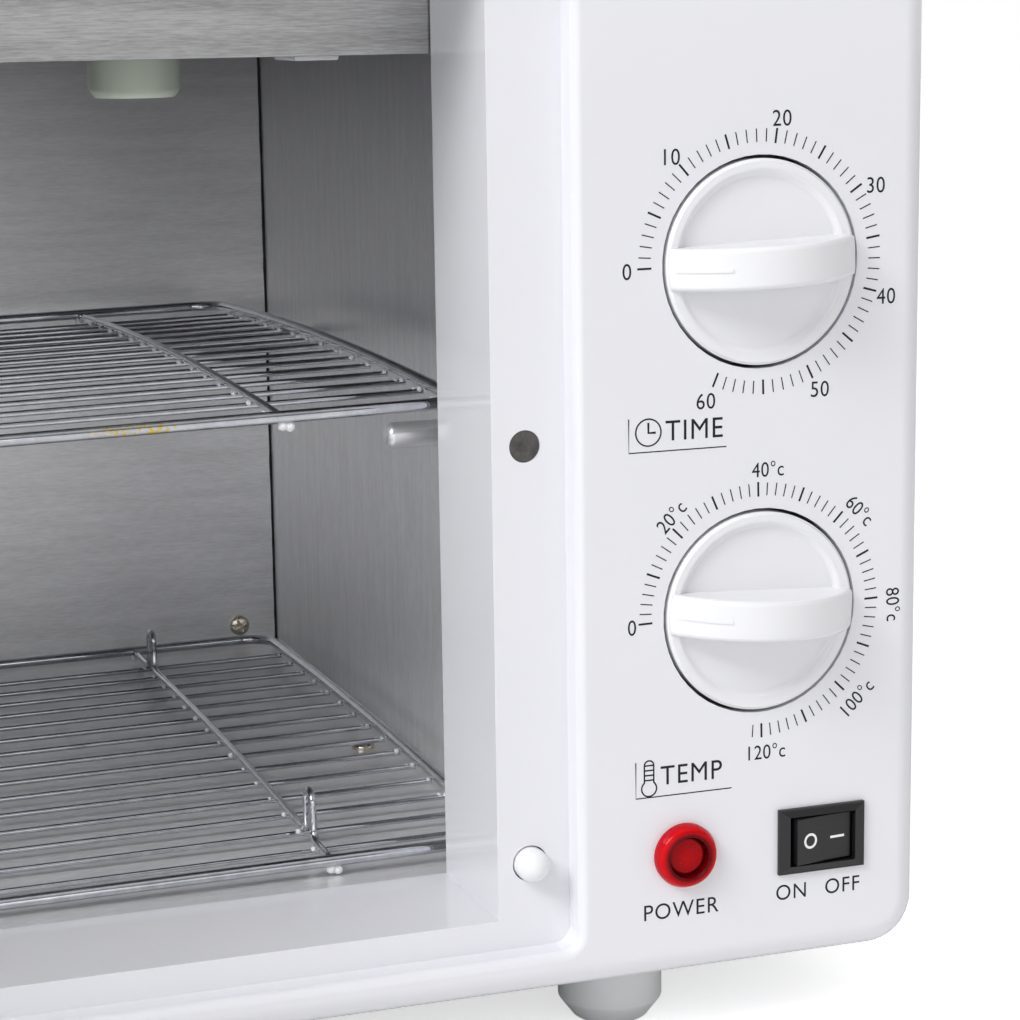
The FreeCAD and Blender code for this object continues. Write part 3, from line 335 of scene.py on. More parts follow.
def scale_marks(dial, count, radius, start, step):
    """One dial's ring of ticks, clockwise from the left."""
    mesh = grown(ticks, Count=count, Radius=radius * MM, Start=math.radians(start),
                 Step=math.radians(step), Long_Every=5, Short=(2.8 * MM, INK_THICK, 0.25 * MM),
                 Long=(3.2 * MM, INK_THICK, 0.45 * MM), Material=ink)
    mesh.transform(Matrix.Translation((dial[0], FACE - INK_LIFT + INK_THICK / 2, dial[1])))
    return mesh


def flat_strokes(strokes, width):
    """Meshes of flat printed strokes; a stroke has points in the face's plane, in mm."""
    meshes = []
    for points, closed in strokes:
        shape = bmesh.new()
        count = len(points)
        rows = []
        for number, (x, z) in enumerate(points):
            before = points[(number - 1) % count] if closed or number else points[0]
            after = points[(number + 1) % count] if closed or number < count - 1 else points[-1]
            way = Vector((after[0] - before[0], after[1] - before[1])).normalized()
            side = Vector((-way.y, way.x)) * width / 2
            rows.append([shape.verts.new(((x + s * side.x) * MM, y, (z + s * side.y) * MM))
                         for s, y in ((1, FACE - INK_LIFT), (-1, FACE - INK_LIFT),
                                      (-1, FACE + INK_LIFT), (1, FACE + INK_LIFT))])
        links = count if closed else count - 1
        for number in range(links):
            one, other = rows[number], rows[(number + 1) % count]
            for corner in range(4):
                after = (corner + 1) % 4
                shape.faces.new((one[corner], other[corner], other[after], one[after]))
        if not closed:
            shape.faces.new(rows[0])
            shape.faces.new(rows[-1][::-1])
        bmesh.ops.recalc_face_normals(shape, faces=shape.faces)
        mesh = mesh_of(shape, "stroke")
        mesh.materials.append(ink)
        meshes.append(mesh)
    return meshes


def words(text, x, z, height, turn=0.0, spacing=1.0, stretch=1.0):
    """Printed words of this capital height, centred on a point of the face, in mm."""
    curve = bpy.data.curves.new(text, "FONT")
    curve.body = text
    curve.align_x = "CENTER"
    curve.align_y = "CENTER"
    curve.space_character = spacing
    curve.extrude = INK_THICK / 2 / MM
    carrier = bpy.data.objects.new(text, curve)
    bpy.context.collection.objects.link(carrier)
    mesh = made_plain(carrier)
    low, high = reach_of(mesh.vertices)
    mesh.transform(Matrix.Translation(-(low + high) / 2))
    grow = height / (high.y - low.y)
    mesh.transform(Matrix.Diagonal((grow * stretch, grow, 1, 1)))
    mesh.transform(Matrix.Rotation(math.radians(-turn), 4, "Z"))
    mesh.transform(Matrix.Rotation(math.radians(90), 4, "X"))
    mesh.transform(Matrix.Scale(MM, 4))
    mesh.transform(Matrix.Translation((x * MM, FACE - INK_LIFT + INK_THICK / 2, z * MM)))
    mesh.materials.clear()
    mesh.materials.append(ink)
    shape = bmesh.new()
    shape.from_mesh(mesh)
    bmesh.ops.remove_doubles(shape, verts=shape.verts, dist=1e-7)
    bmesh.ops.recalc_face_normals(shape, faces=shape.faces)
    shape.to_mesh(mesh)
    shape.free()
    return mesh


def ring(x, z, radius, start=0, end=360, steps=32):
    """Points of an arc in the face's plane, anticlockwise from the right."""
    return [(x + radius * math.cos(math.radians(start + (end - start) * n / steps)),
             z + radius * math.sin(math.radians(start + (end - start) * n / steps)))
            for n in range(steps + (end - start < 360))]


prints = [scale_marks(TIME_DIAL, 61, 26.85, -0.5, 4.895),
          scale_marks(TEMP_DIAL, 62, 26.98, -1.0, 4.5)]
for text, x, z in (("0", 154.2, 174.6), ("10", 164.5, 198.2), ("20", 189.8, 205.6),
                   ("30", 212.1, 190.7), ("40", 214.8, 166.6), ("50", 199.1, 147.2),
                   ("60", 172.2, 146.2)):
    prints.append(words(text, x, z, 3.4, spacing=1.08, stretch=0.92))
for text, x, z, turn in (("0", 154.9, 98.1, 0), ("20°c", 164.1, 121.7, -46),
                         ("40°c", 186.8, 130.5, 0), ("60°c", 209.1, 119.7, 46),
                         ("80°c", 217.5, 97.8, 88), ("100°c", 208.8, 77.4, -44),
                         ("120°c", 186.8, 67.3, 0)):
    prints.append(words(text, x, z, 3.4, turn, spacing=1.05, stretch=0.88))
for text, x, z, height, stretch in (("TIME", 169.5, 140.4, 4.3, 0.94),
                                    ("TEMP", 168.7, 64.5, 4.2, 0.94),
                                    ("POWER", 166.3, 33.6, 3.6, 0.96),
                                    ("ON", 192.9, 34.2, 3.5, 0.95),
                                    ("OFF", 205.6, 34.2, 3.5, 0.95)):
    prints.append(words(text, x, z, height, spacing=1.1, stretch=stretch))
clock_x, clock_z = 158.9, 140.3
bulb_x, bulb_z = 158.7, 61.9
prints += flat_strokes([
    ([(154.4, 143.4), (154.4, 136.1), (177.0, 136.1)], False),
    ([(155.6, 68.0), (155.6, 59.9), (178.3, 59.9)], False)], 0.26)
prints += flat_strokes([([(clock_x, clock_z + 2.1), (clock_x, clock_z - 0.1),
                        (clock_x + 1.7, clock_z - 0.1)], False)], 0.5)
prints += flat_strokes([
    (ring(clock_x, clock_z, 2.9), True),
    (ring(bulb_x, bulb_z, 1.75, 128, 412), False),
    ([(bulb_x - 1.1, bulb_z + 1.3)] + ring(bulb_x, bulb_z + 5.2, 1.1, 180, 0, 10)
     + [(bulb_x + 1.1, bulb_z + 1.3)], False),
    *[([(bulb_x - 1.1, bulb_z + rise), (bulb_x + 1.1, bulb_z + rise)], False)
      for rise in (1.9, 3.0, 4.1, 5.2)]], 0.34)
show("control_print", joined("control_print", prints, ink), "cabinet", "inner_black")

# Dials: white moulded knobs, let into the face with a narrow dark gap, each with a grip arched
# right across it and a low pointer bar at one end. Each is pressed on a steel shaft.

knob_white = moulded("knob_white", (0.79, 0.79, 0.815), (0.81, 0.81, 0.835),
                     rough=(0.16, 0.24), depth=0.00001)
for node in ("time_knob", "temp_knob"):
    dress(node, knob_white, corner=40.0)

# Pilot lamp: a flanged lens of clear red plastic over a dark well, with a dotted diffuser in
# the middle. It snaps into the face from the front.

lens_red, tree, shader, where = finish("lens_red", 0.05, Specular_IOR_Level=0.12)
lens_low, lens_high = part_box("pilot_lens")
lens_spot = (lens_low + lens_high) / 2
centred = add(tree, "ShaderNodeVectorMath", {0: where, 1: (lens_spot.x, 0.0, lens_spot.z)},
              operation="SUBTRACT").outputs[0]
flat = add(tree, "ShaderNodeVectorMath", {0: centred, 1: (1.0, 0.0, 1.0)},
           operation="MULTIPLY").outputs[0]
reach = add(tree, "ShaderNodeVectorMath", {0: flat}, operation="LENGTH").outputs["Value"]
ramp = add(tree, "ShaderNodeValToRGB", {0: maths(tree, "DIVIDE", reach, 7.2 * MM)})
stops = ((0.0, (0.42, 0.0, 0.003)), (0.5, (0.3, 0.0, 0.003)), (0.57, (0.02, 0.0, 0.001)),
         (0.7, (0.03, 0.0, 0.001)), (0.77, (0.3, 0.0, 0.004)), (0.9, (0.6, 0.003, 0.008)),
         (1.0, (0.4, 0.002, 0.01)))
ramp.color_ramp.elements[1].position = stops[-1][0]
for place, colour in stops[1:-1]:
    ramp.color_ramp.elements.new(place)
for element, (place, colour) in zip(ramp.color_ramp.elements, stops):
    element.position, element.color = place, (*colour, 1)
mottle = noise(tree, where, 420.0, 3.0)
tree.links.new(blend_colour(tree, maths(tree, "MULTIPLY", mottle, 0.25), ramp.outputs[0],
                            (0.6, 0.006, 0.01, 1)), shader["Base Color"])
tree.links.new(ramp.outputs[0], shader["Emission Color"])
shader["Emission Strength"].default_value = 0.05
raised(tree, shader, mottle, 0.2, 0.00005)
dress("pilot_lens", lens_red, corner=50.0)
coat(lens_red, "pilot_body")

dots, into, out = new_group(
    "diffuser_dots", "GeometryNodeTree",
    [("Geometry", "Geometry"), ("Pitch", "Float"), ("Reach", "Float"), ("Dot", "Float"),
     ("Material", "Material")], [("Geometry", "Geometry")])
field = add(dots, "GeometryNodeMeshGrid", {
    "Size X": maths(dots, "MULTIPLY", into["Pitch"], 12.0),
    "Size Y": maths(dots, "MULTIPLY", into["Pitch"], 12.0), "Vertices X": 13,
    "Vertices Y": 13}).outputs[0]
place = add(dots, "GeometryNodeInputPosition").outputs[0]
far = add(dots, "ShaderNodeVectorMath", {0: place}, operation="LENGTH").outputs["Value"]
inside = add(dots, "FunctionNodeCompare", {0: far, 1: into["Reach"]}, data_type="FLOAT",
             operation="LESS_THAN").outputs[0]
bead = add(dots, "GeometryNodeMeshIcoSphere", {"Radius": into["Dot"], "Subdivisions": 1}).outputs[0]
placed = add(dots, "GeometryNodeInstanceOnPoints",
             {"Points": field, "Selection": inside, "Instance": bead,
              "Scale": (1.0, 1.0, 0.35)}).outputs[0]
grown_out(dots, placed, into["Material"], out)
dot_mesh = grown(dots, Pitch=0.62 * MM, Reach=3.3 * MM, Dot=0.24 * MM, Material=lens_red)
dot_mesh.transform(Matrix.Rotation(math.radians(90), 4, "X"))
dot_mesh.transform(Matrix.Translation((lens_spot.x, FACE - 1.5 * MM, lens_spot.z)))
show("lens_dots", dot_mesh, "cabinet", "lens_red")

# Rocker switch: a black bezel with mitred slopes and the housing in one moulding, and a
# tipping rocker that carries a white ring and a white bar. Its right half is pressed in.

rocker_black = moulded("rocker_black", (0.006, 0.006, 0.007), (0.014, 0.014, 0.016),
                       rough=(0.3, 0.42), depth=0.00003)
bezel_low, bezel_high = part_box("rocker_housing")
bezel_mid = (bezel_low + bezel_high) / 2


def mitred(shape):
    """Slopes the bezel's face down to its rim, with a mitre in each corner."""
    front = [vert for vert in shape.verts if vert.co.y < bezel_low.y + 0.1 * MM]
    rim = [vert for vert in front if abs(vert.co.x - bezel_mid.x) > 9.0 * MM]
    inner = [vert for vert in front if vert not in rim]
    bmesh.ops.delete(shape, geom=[face for face in shape.faces
                                  if all(vert in front for vert in face.verts)],
                     context="FACES_ONLY")
    inner.sort(key=lambda vert: math.atan2(vert.co.z - bezel_mid.z, vert.co.x - bezel_mid.x))
    outer = [max((vert for vert in rim if (vert.co - near.co).length < 5 * MM),
                 key=lambda vert: abs(vert.co.x - bezel_mid.x)) for near in inner]
    for n in range(4):
        after = (n + 1) % 4
        shape.faces.new((outer[n], outer[after], inner[after], inner[n]))
    bmesh.ops.delete(shape, geom=[vert for vert in rim if vert not in outer], context="VERTS")
    for vert in shape.verts:
        if abs(vert.co.x - bezel_mid.x) > 9.0 * MM:
            vert.co.y = max(vert.co.y, bezel_low.y + 0.55 * MM)
    bmesh.ops.recalc_face_normals(shape, faces=shape.faces)


TILT = math.radians(9.0)
pivot = Vector((bezel_mid.x, FACE + 0.6 * MM, bezel_mid.z))
ROCKER_FACE = -1.7 * MM


def flattened(shape):
    """Draws the rocker's two ends in, so that its face is nearly flat, as the real one's is."""
    level = Matrix.Translation(pivot) @ Matrix.Rotation(TILT, 4, "Z")
    for vert in shape.verts:
        local = level.inverted() @ vert.co
        if local.y < -2.1 * MM:
            local.y = ROCKER_FACE - 0.35 * MM * (local.x / (7.2 * MM)) ** 2
            vert.co = level @ local


dress("rocker_housing", rocker_black, corner=20.0, edge=0.15, reshape=mitred)
dress("rocker", rocker_black, corner=25.0, edge=0.3, reshape=flattened)
legend_white = moulded("legend_white", (0.85, 0.85, 0.85), (0.95, 0.95, 0.95), rough=(0.4, 0.5))


def legend(points, closed, side):
    """White strokes on one half of the rocker's face."""
    mesh = flat_strokes([(points, closed)], 0.55)[0]
    mesh.transform(Matrix.Translation((0, -FACE, 0)))
    mesh.transform(Matrix.Rotation(math.radians(-2.8 * side), 4, "Z"))
    mesh.transform(Matrix.Translation((side * 3.6 * MM, ROCKER_FACE - 0.22 * MM, 0)))
    mesh.transform(Matrix.Translation(pivot) @ Matrix.Rotation(TILT, 4, "Z"))
    mesh.materials.clear()
    mesh.materials.append(legend_white)
    return mesh


legends = [legend(ring(0, 0, 1.5), True, -1), legend([(-1.8, 0), (1.8, 0)], False, 1)]
show("rocker_legends", joined("rocker_legends", legends), "rocker_switch", "holder_white")

# Catch magnet and door switch: a ground magnet glued into its seat, and the domed white
# plunger of the switch behind the land.

magnet_grey, tree, shader, where = finish("magnet_grey", 0.4, 0.85)
worn = noise(tree, where, 500.0, 4.0, 0.7)
tinted(tree, shader, worn, (0.015, 0.014, 0.014), (0.19, 0.18, 0.17))
tree.links.new(maths(tree, "MULTIPLY_ADD", worn, 0.4, 0.15), shader["Roughness"])
raised(tree, shader, worn, 0.5, 0.00008)
dress("catch_magnet", magnet_grey, edge=0.25)
plunger_white = moulded("plunger_white", (0.8, 0.8, 0.82), (0.84, 0.84, 0.86),
                        rough=(0.2, 0.3))
dress("door_plunger", plunger_white, corner=50.0)

# Chamber liner: folded stainless sheet with a brushed face. The brushing runs round the folds
# of the floor and walls and level along the back, and where they meet a dark strip stands in
# for the shade inside the narrow gap, as painted shade.

brush, into, out = new_group("brushing", "ShaderNodeTree",
                             [("Vector", "Vector"), ("Stretch", "Vector"), ("Low", "Float", 0.2),
                              ("High", "Float", 0.3)],
                             [("Tone", "Float"), ("Height", "Float"), ("Roughness", "Float")])
lines = add(brush, "ShaderNodeVectorMath", {0: into["Vector"], 1: into["Stretch"]},
            operation="MULTIPLY").outputs[0]
hair = noise(brush, lines, 1.0, 3.0, 0.7)
broad = noise(brush, lines, 0.13, 2.0)
smudge = noise(brush, into["Vector"], 9.0, 1.0)
tone = maths(brush, "ADD", maths(brush, "MULTIPLY", hair, 0.65),
             maths(brush, "MULTIPLY", broad, 0.35))
brush.links.new(tone, out["Tone"])
brush.links.new(hair, out["Height"])
span = add(brush, "ShaderNodeMapRange", {"Value": smudge, "From Min": 0.3, "From Max": 0.7,
                                         "To Min": into["Low"], "To Max": into["High"]})
brush.links.new(span.outputs[0], out["Roughness"])


def brushed(name, stretch, dark, light, rough=(0.24, 0.34), depth=0.00004, strength=0.25,
            metallic=1.0, ceiling_shade=1.0):
    """Brushed stainless, with lines that are long on the axes of the small numbers; the last argument
    is how much of its tone is left under the chamber's ceiling: the base colour is painted darker
    towards the top, as painted shade."""
    material, tree, shader, where = finish(name, metallic=metallic)
    skin = add(tree, "ShaderNodeGroup", node_tree=brush)
    tree.links.new(where, skin.inputs["Vector"])
    skin.inputs["Stretch"].default_value = stretch
    skin.inputs["Low"].default_value, skin.inputs["High"].default_value = rough
    sharp = add(tree, "ShaderNodeMapRange", {"Value": skin.outputs["Tone"], "From Min": 0.35,
                                             "From Max": 0.65}).outputs[0]
    # Painted shade: the base colour is multiplied darker towards the chamber's ceiling.
    high_up = add(tree, "ShaderNodeSeparateXYZ", {0: where}).outputs[2]
    shade_by_height = add(tree, "ShaderNodeMapRange", {"Value": high_up, "From Min": 0.11, "To Max": ceiling_shade,
                                                 "From Max": 0.235, "To Min": 1.0}).outputs[0]
    tree.links.new(blend_colour(tree, 1.0, blend_colour(tree, sharp, (*dark, 1), (*light, 1)),
                                shade_by_height, "MULTIPLY"), shader["Base Color"])
    tree.links.new(skin.outputs["Roughness"], shader["Roughness"])
    raised(tree, shader, skin.outputs["Height"], strength, depth)
    return material


# The liner's steel is painted darker towards the ceiling, as painted shade under the top.
STEEL = {"dark": (0.76, 0.76, 0.77), "light": (0.95, 0.95, 0.97), "metallic": 0.55,
         "ceiling_shade": 0.4, "rough": (0.28, 0.38)}
wrap_steel = brushed("brushed_round", (260.0, 2600.0, 260.0), **STEEL)
back_steel = brushed("brushed_level", (260.0, 2600.0, 2600.0), **STEEL)
coat(wrap_steel, "liner_wrap")
coat(back_steel, "liner_back")
# Painted shade: a near-black finish for the strips that stand in for the shade inside the liner's
# corner gaps.
gap_shade = moulded("gap_shade", (0.012, 0.012, 0.013), (0.03, 0.03, 0.03), rough=(0.7, 0.9))


LINER_SHEET = 0.8 * MM
back_low, back_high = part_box("liner_back")


def gap_shadow_strip(x, side):
    """A dark strip of painted shade in the narrow gap between a wall and the back, a little uneven
    from end to end.
    """
    random.seed(7)
    shape = bmesh.new()
    rows = []
    steps = 48
    foot = back_low.z + LINER_SHEET + 0.2 * MM
    tall = back_high.z - LINER_SHEET - 0.2 * MM - foot
    for step in range(steps + 1):
        z = foot + tall * step / steps
        wide = (0.55 + 0.22 * random.random()) * MM
        rows.append([shape.verts.new((x - side * wide * across, back_low.y - wide * deep, z))
                     for across, deep in ((0, 0), (1, 0), (0.35, 0.35), (0, 1))])
    for one, other in zip(rows, rows[1:]):
        for corner in range(4):
            after = (corner + 1) % 4
            shape.faces.new((one[corner], one[after], other[after], other[corner]))
    shape.faces.new(rows[0])
    shape.faces.new(rows[-1])
    bmesh.ops.recalc_face_normals(shape, faces=shape.faces)
    mesh = mesh_of(shape, "crease")
    mesh.materials.append(gap_shade)
    return mesh


# Dark strips of painted shade in both back corners of the liner.
gap_shadows = [gap_shadow_strip(back_high.x - LINER_SHEET, 1), gap_shadow_strip(back_low.x + LINER_SHEET, -1)]
show("corner_gaps", joined("corner_gaps", gap_shadows), "cabinet", "inner_black")

# Screws: nickel-plated pan heads with a cross recess, driven through the chamber's floor and
# back and through the rear panel. One head is made and set out on the place of every screw.

nickel_screw, tree, shader, where = finish("nickel_screw", 0.2, 1.0)
tarnish = noise(tree, where, 700.0, 3.0)
tinted(tree, shader, tarnish, (0.5, 0.44, 0.33), (0.86, 0.82, 0.72))
tree.links.new(maths(tree, "MULTIPLY_ADD", tarnish, 0.25, 0.1), shader["Roughness"])


def pan_head(radius, rise):
    """A domed head about its seat, facing +Z, with a cross sunk into it."""
    shape = bmesh.new()
    around, levels = 32, 8
    outline = [(radius, 0.0)] + [
        (radius * math.cos(math.radians(step * 90 / levels)),
         rise * (0.35 + 0.65 * math.sin(math.radians(step * 90 / levels))))
        for step in range(levels)]
    rows = [[shape.verts.new((reach * math.cos(math.tau * n / around),
                              reach * math.sin(math.tau * n / around), level))
             for n in range(around)] for reach, level in outline]
    top = shape.verts.new((0, 0, rise))
    foot = shape.verts.new((0, 0, 0))
    for one, other in zip(rows, rows[1:]):
        for n in range(around):
            after = (n + 1) % around
            shape.faces.new((one[n], one[after], other[after], other[n]))
    for n in range(around):
        after = (n + 1) % around
        shape.faces.new((rows[-1][n], rows[-1][after], top))
        shape.faces.new((rows[0][after], rows[0][n], foot))
    head = mesh_of(shape, "head")
    shape = bmesh.new()
    for long, wide in ((0.62, 0.13), (0.13, 0.62)):
        block = bmesh.ops.create_cube(shape, size=1.0)
        bmesh.ops.scale(shape, verts=block["verts"],
                        vec=(2 * radius * long, 2 * radius * wide, rise))
        bmesh.ops.translate(shape, verts=block["verts"], vec=(0, 0, rise * 0.98))
    tool = bpy.data.objects.new("cross", mesh_of(shape, "cross"))
    bpy.context.collection.objects.link(tool)
    mesh = settled(head, "BOOLEAN", operation="DIFFERENCE", object=tool, solver="EXACT",
                   use_self=True)
    bpy.data.objects.remove(tool)
    smoothed(mesh, 35.0)
    return mesh


set_out, into, out = new_group(
    "set_out", "GeometryNodeTree",
    [("Geometry", "Geometry"), ("Item", "Object"), ("Turn", "Vector"), ("Spread", "Float"),
     ("Seed", "Int"), ("Material", "Material")], [("Geometry", "Geometry")])
item = add(set_out, "GeometryNodeObjectInfo", {0: into["Item"]}).outputs["Geometry"]
spin = add(set_out, "FunctionNodeRandomValue", {"Min": (0.0, 0.0, 0.0), "Max": (0.0, 0.0, 3.1),
                                                "Seed": into["Seed"]},
           data_type="FLOAT_VECTOR").outputs["Value"]
much = add(set_out, "FunctionNodeRandomValue", {
    2: maths(set_out, "SUBTRACT", 1.0, into["Spread"]),
    3: maths(set_out, "ADD", 1.0, into["Spread"]), "Seed": into["Seed"]}).outputs[1]
spots = add(set_out, "GeometryNodeMeshToPoints", {0: into["Geometry"]}).outputs[0]
placed = add(set_out, "GeometryNodeInstanceOnPoints",
             {"Points": spots, "Instance": item, "Rotation": into["Turn"],
              "Scale": much}).outputs[0]
placed = add(set_out, "GeometryNodeRotateInstances", {0: placed, "Rotation": spin}).outputs[0]
grown_out(set_out, placed, into["Material"], out)


def spots_mesh(spots):
    """A mesh of bare points."""
    mesh = bpy.data.meshes.new("spots")
    mesh.from_pydata([tuple(spot) for spot in spots], [], [])
    return mesh


def spread(item_mesh, spots, turn, material, vary=0.0, seed=3):
    """Copies of a mesh at points, turned this way, as one plain mesh."""
    item_object = bpy.data.objects.new("item", item_mesh)
    bpy.context.collection.objects.link(item_object)
    mesh = grown(set_out, spots_mesh(spots), Item=item_object, Turn=turn, Spread=vary, Seed=seed,
                 Material=material)
    bpy.data.objects.remove(item_object)
    return mesh


UP, TO_FRONT = (0.0, 0.0, 0.0), (math.radians(90), 0.0, 0.0)
TO_REAR = (math.radians(-90), 0.0, 0.0)
HEAD_RADIUS, HEAD_RISE = 3.1 * MM, 1.8 * MM
head_mesh = pan_head(HEAD_RADIUS, HEAD_RISE)


def screw_spots(node, axis, end):
    """The middle of each screw of a node, at one end of an axis."""
    shape = bmesh.new()
    shape.from_mesh(frame["nodes"][node].data)
    bmesh.ops.remove_doubles(shape, verts=shape.verts, dist=2e-6)
    loose, found = set(shape.verts), []
    while loose:
        stack = [loose.pop()]
        island = list(stack)
        while stack:
            for edge in stack.pop().link_edges:
                for vert in edge.verts:
                    if vert in loose:
                        loose.remove(vert)
                        stack.append(vert)
                        island.append(vert)
        low, high = reach_of(island)
        middle = (low + high) / 2
        middle[axis] = high[axis] if end > 0 else low[axis]
        found.append(middle)
    shape.free()
    return sorted(found, key=lambda spot: (round(spot.x, 4), round(spot.y, 4), round(spot.z, 4)))


for node, axis, end, turn in (("liner_floor_screws", 2, 1, UP),
                              ("liner_back_screws", 1, -1, TO_FRONT),
                              ("rear_screws", 1, 1, TO_REAR)):
    spots = screw_spots(node, axis, end)
    for spot in spots:
        spot[axis] -= end * HEAD_RISE
    mesh = spread(head_mesh, spots, turn, nickel_screw)
    show(node + "_form", mesh, body_of[node], slot_of[node], node)
coat(nickel_screw, "foot_screws", "handle_screws")

# Wire racks: a bent rail of thick wire, thin rods welded under it and two stays over the rods,
# all bright chromed. The lower rack's stays have an upright loop near each end.

chromed_wire, tree, shader, where = finish("chromed_wire", 0.06, 1.0)
plating = noise(tree, where, 260.0, 4.0, 0.6)
shade = blend_colour(tree, plating, (0.34, 0.35, 0.39, 1), (0.72, 0.73, 0.76, 1))
stain_spot = (59.0 * MM, -106.5 * MM, 141.5 * MM)
away = add(tree, "ShaderNodeVectorMath", {0: where, 1: stain_spot}, operation="SUBTRACT").outputs[0]
away = add(tree, "ShaderNodeVectorMath", {0: away, 1: (1.0, 3.0, 3.0)},
           operation="MULTIPLY").outputs[0]
away = add(tree, "ShaderNodeVectorMath", {0: away}, operation="LENGTH").outputs["Value"]
speckle = add(tree, "ShaderNodeMapRange", {"Value": noise(tree, where, 900.0, 3.0),
                                           "From Min": 0.52, "From Max": 0.6}).outputs[0]
close = add(tree, "ShaderNodeMapRange", {"Value": away, "From Min": 6.0 * MM,
                                         "From Max": 14.0 * MM, "To Min": 1.0,
                                         "To Max": 0.0}).outputs[0]
tree.links.new(blend_colour(tree, maths(tree, "MULTIPLY", speckle, close), shade,
                            (0.62, 0.47, 0.08, 1)), shader["Base Color"])
tree.links.new(maths(tree, "MULTIPLY_ADD", plating, 0.1, 0.02), shader["Roughness"])
raised(tree, shader, noise(tree, where, 180.0, 2.0), 0.15, 0.00006)

wire, into, out = new_group(
    "drawn_wire", "GeometryNodeTree",
    [("Geometry", "Geometry"), ("Gauge", "Float"), ("Sides", "Int", 14), ("Material", "Material")],
    [("Geometry", "Geometry")])
spine = add(wire, "GeometryNodeMeshToCurve", {0: into["Geometry"]}).outputs[0]
section = add(wire, "GeometryNodeCurvePrimitiveCircle", {"Resolution": into["Sides"],
                                                         "Radius": into["Gauge"]}).outputs[0]
tube = add(wire, "GeometryNodeCurveToMesh", {0: spine, 1: section, "Fill Caps": True}).outputs[0]
tube = add(wire, "GeometryNodeSetShadeSmooth", {0: tube, "Shade Smooth": True}).outputs[0]
grown_out(wire, tube, into["Material"], out)

RACK_HALF, RACK_DEEP, RACK_BEND = 161.0, 219.0, 9.0
RAIL, ROD, STAY = 1.4, 0.7, 0.9
ROD_START, ROD_PITCH, ROD_COUNT, STAY_IN = 13.0, 13.4, 15, 41.5
LOOP_RISE, LOOP_HALF = 11.0, 3.0


def drawn(paths, gauge, sides=14):
    """Wire along paths of points in mm; a path that ends where it starts is closed."""
    spots, links = [], []
    for path in paths:
        closed = path[0] == path[-1]
        start = len(spots)
        spots += path[:-1] if closed else path
        count = len(spots) - start
        links += [(start + n, start + (n + 1) % count) for n in range(count if closed else count - 1)]
    mesh = bpy.data.meshes.new("paths")
    mesh.from_pydata([tuple(value * MM for value in spot) for spot in spots], links, [])
    return grown(wire, mesh, Gauge=gauge * MM, Sides=sides, Material=chromed_wire)


def between(path, step=10.0):
    """A path with more points on its long runs, so that it can be bowed."""
    full = []
    for one, other in zip(path, path[1:]):
        parts = max(1, round(math.dist(one, other) / step))
        full += [tuple(a + (b - a) * n / parts for a, b in zip(one, other)) for n in range(parts)]
    return full + [path[-1]]


def rack_ring():
    """The rail's middle line, with its four bends."""
    path = []
    for x, y, start in ((RACK_HALF, 0, -90), (RACK_HALF, RACK_DEEP, 0), (-RACK_HALF, RACK_DEEP, 90),
                        (-RACK_HALF, 0, 180)):
        mid_x = x - math.copysign(RACK_BEND, x)
        mid_y = y + (RACK_BEND if y == 0 else -RACK_BEND)
        for step in range(13):
            turn = math.radians(start + step * 7.5)
            path.append((mid_x + RACK_BEND * math.cos(turn), mid_y + RACK_BEND * math.sin(turn), 0))
    return between(path + path[:1])


def rod_end(y):
    """How far inside the rail's side a rod ends."""
    near = min(y, RACK_DEEP - y)
    if near >= RACK_BEND:
        return 0.5
    return RACK_BEND - math.sqrt(RACK_BEND ** 2 - (RACK_BEND - near) ** 2) + 0.5


def stay_line(x, loops):
    """A stay's middle line from under the front rail to under the back one."""
    level = STAY - RAIL
    path = [(x, 0.2, -RAIL - 0.5), (x, 1.4, -RAIL), (x, 3.4, level), (x, 5.0, level)]
    for y in loops:
        path += [(x, y - LOOP_HALF - 3.4, level), (x, y - LOOP_HALF - 1.2, level + 0.5),
                 (x, y - LOOP_HALF, level + 2.4), (x, y - LOOP_HALF + 0.2, level + LOOP_RISE - 3)]
        path += [(x, y - LOOP_HALF * math.cos(math.radians(turn)),
                  level + LOOP_RISE - LOOP_HALF + LOOP_HALF * math.sin(math.radians(turn)))
                 for turn in range(15, 180, 15)]
        path += [(x, y + LOOP_HALF - 0.2, level + LOOP_RISE - 3), (x, y + LOOP_HALF, level + 2.4),
                 (x, y + LOOP_HALF + 1.2, level + 0.5), (x, y + LOOP_HALF + 3.4, level)]
    return between(path + [(x, RACK_DEEP - 5.0, level), (x, RACK_DEEP - 3.4, level),
                           (x, RACK_DEEP - 1.4, -RAIL), (x, RACK_DEEP - 0.2, -RAIL - 0.5)])


def bead_mesh(size):
    """A small spilled drop of weld."""
    shape = bmesh.new()
    bmesh.ops.create_icosphere(shape, subdivisions=2, radius=size * MM)
    for face in shape.faces:
        face.smooth = True
    return mesh_of(shape, "weld")


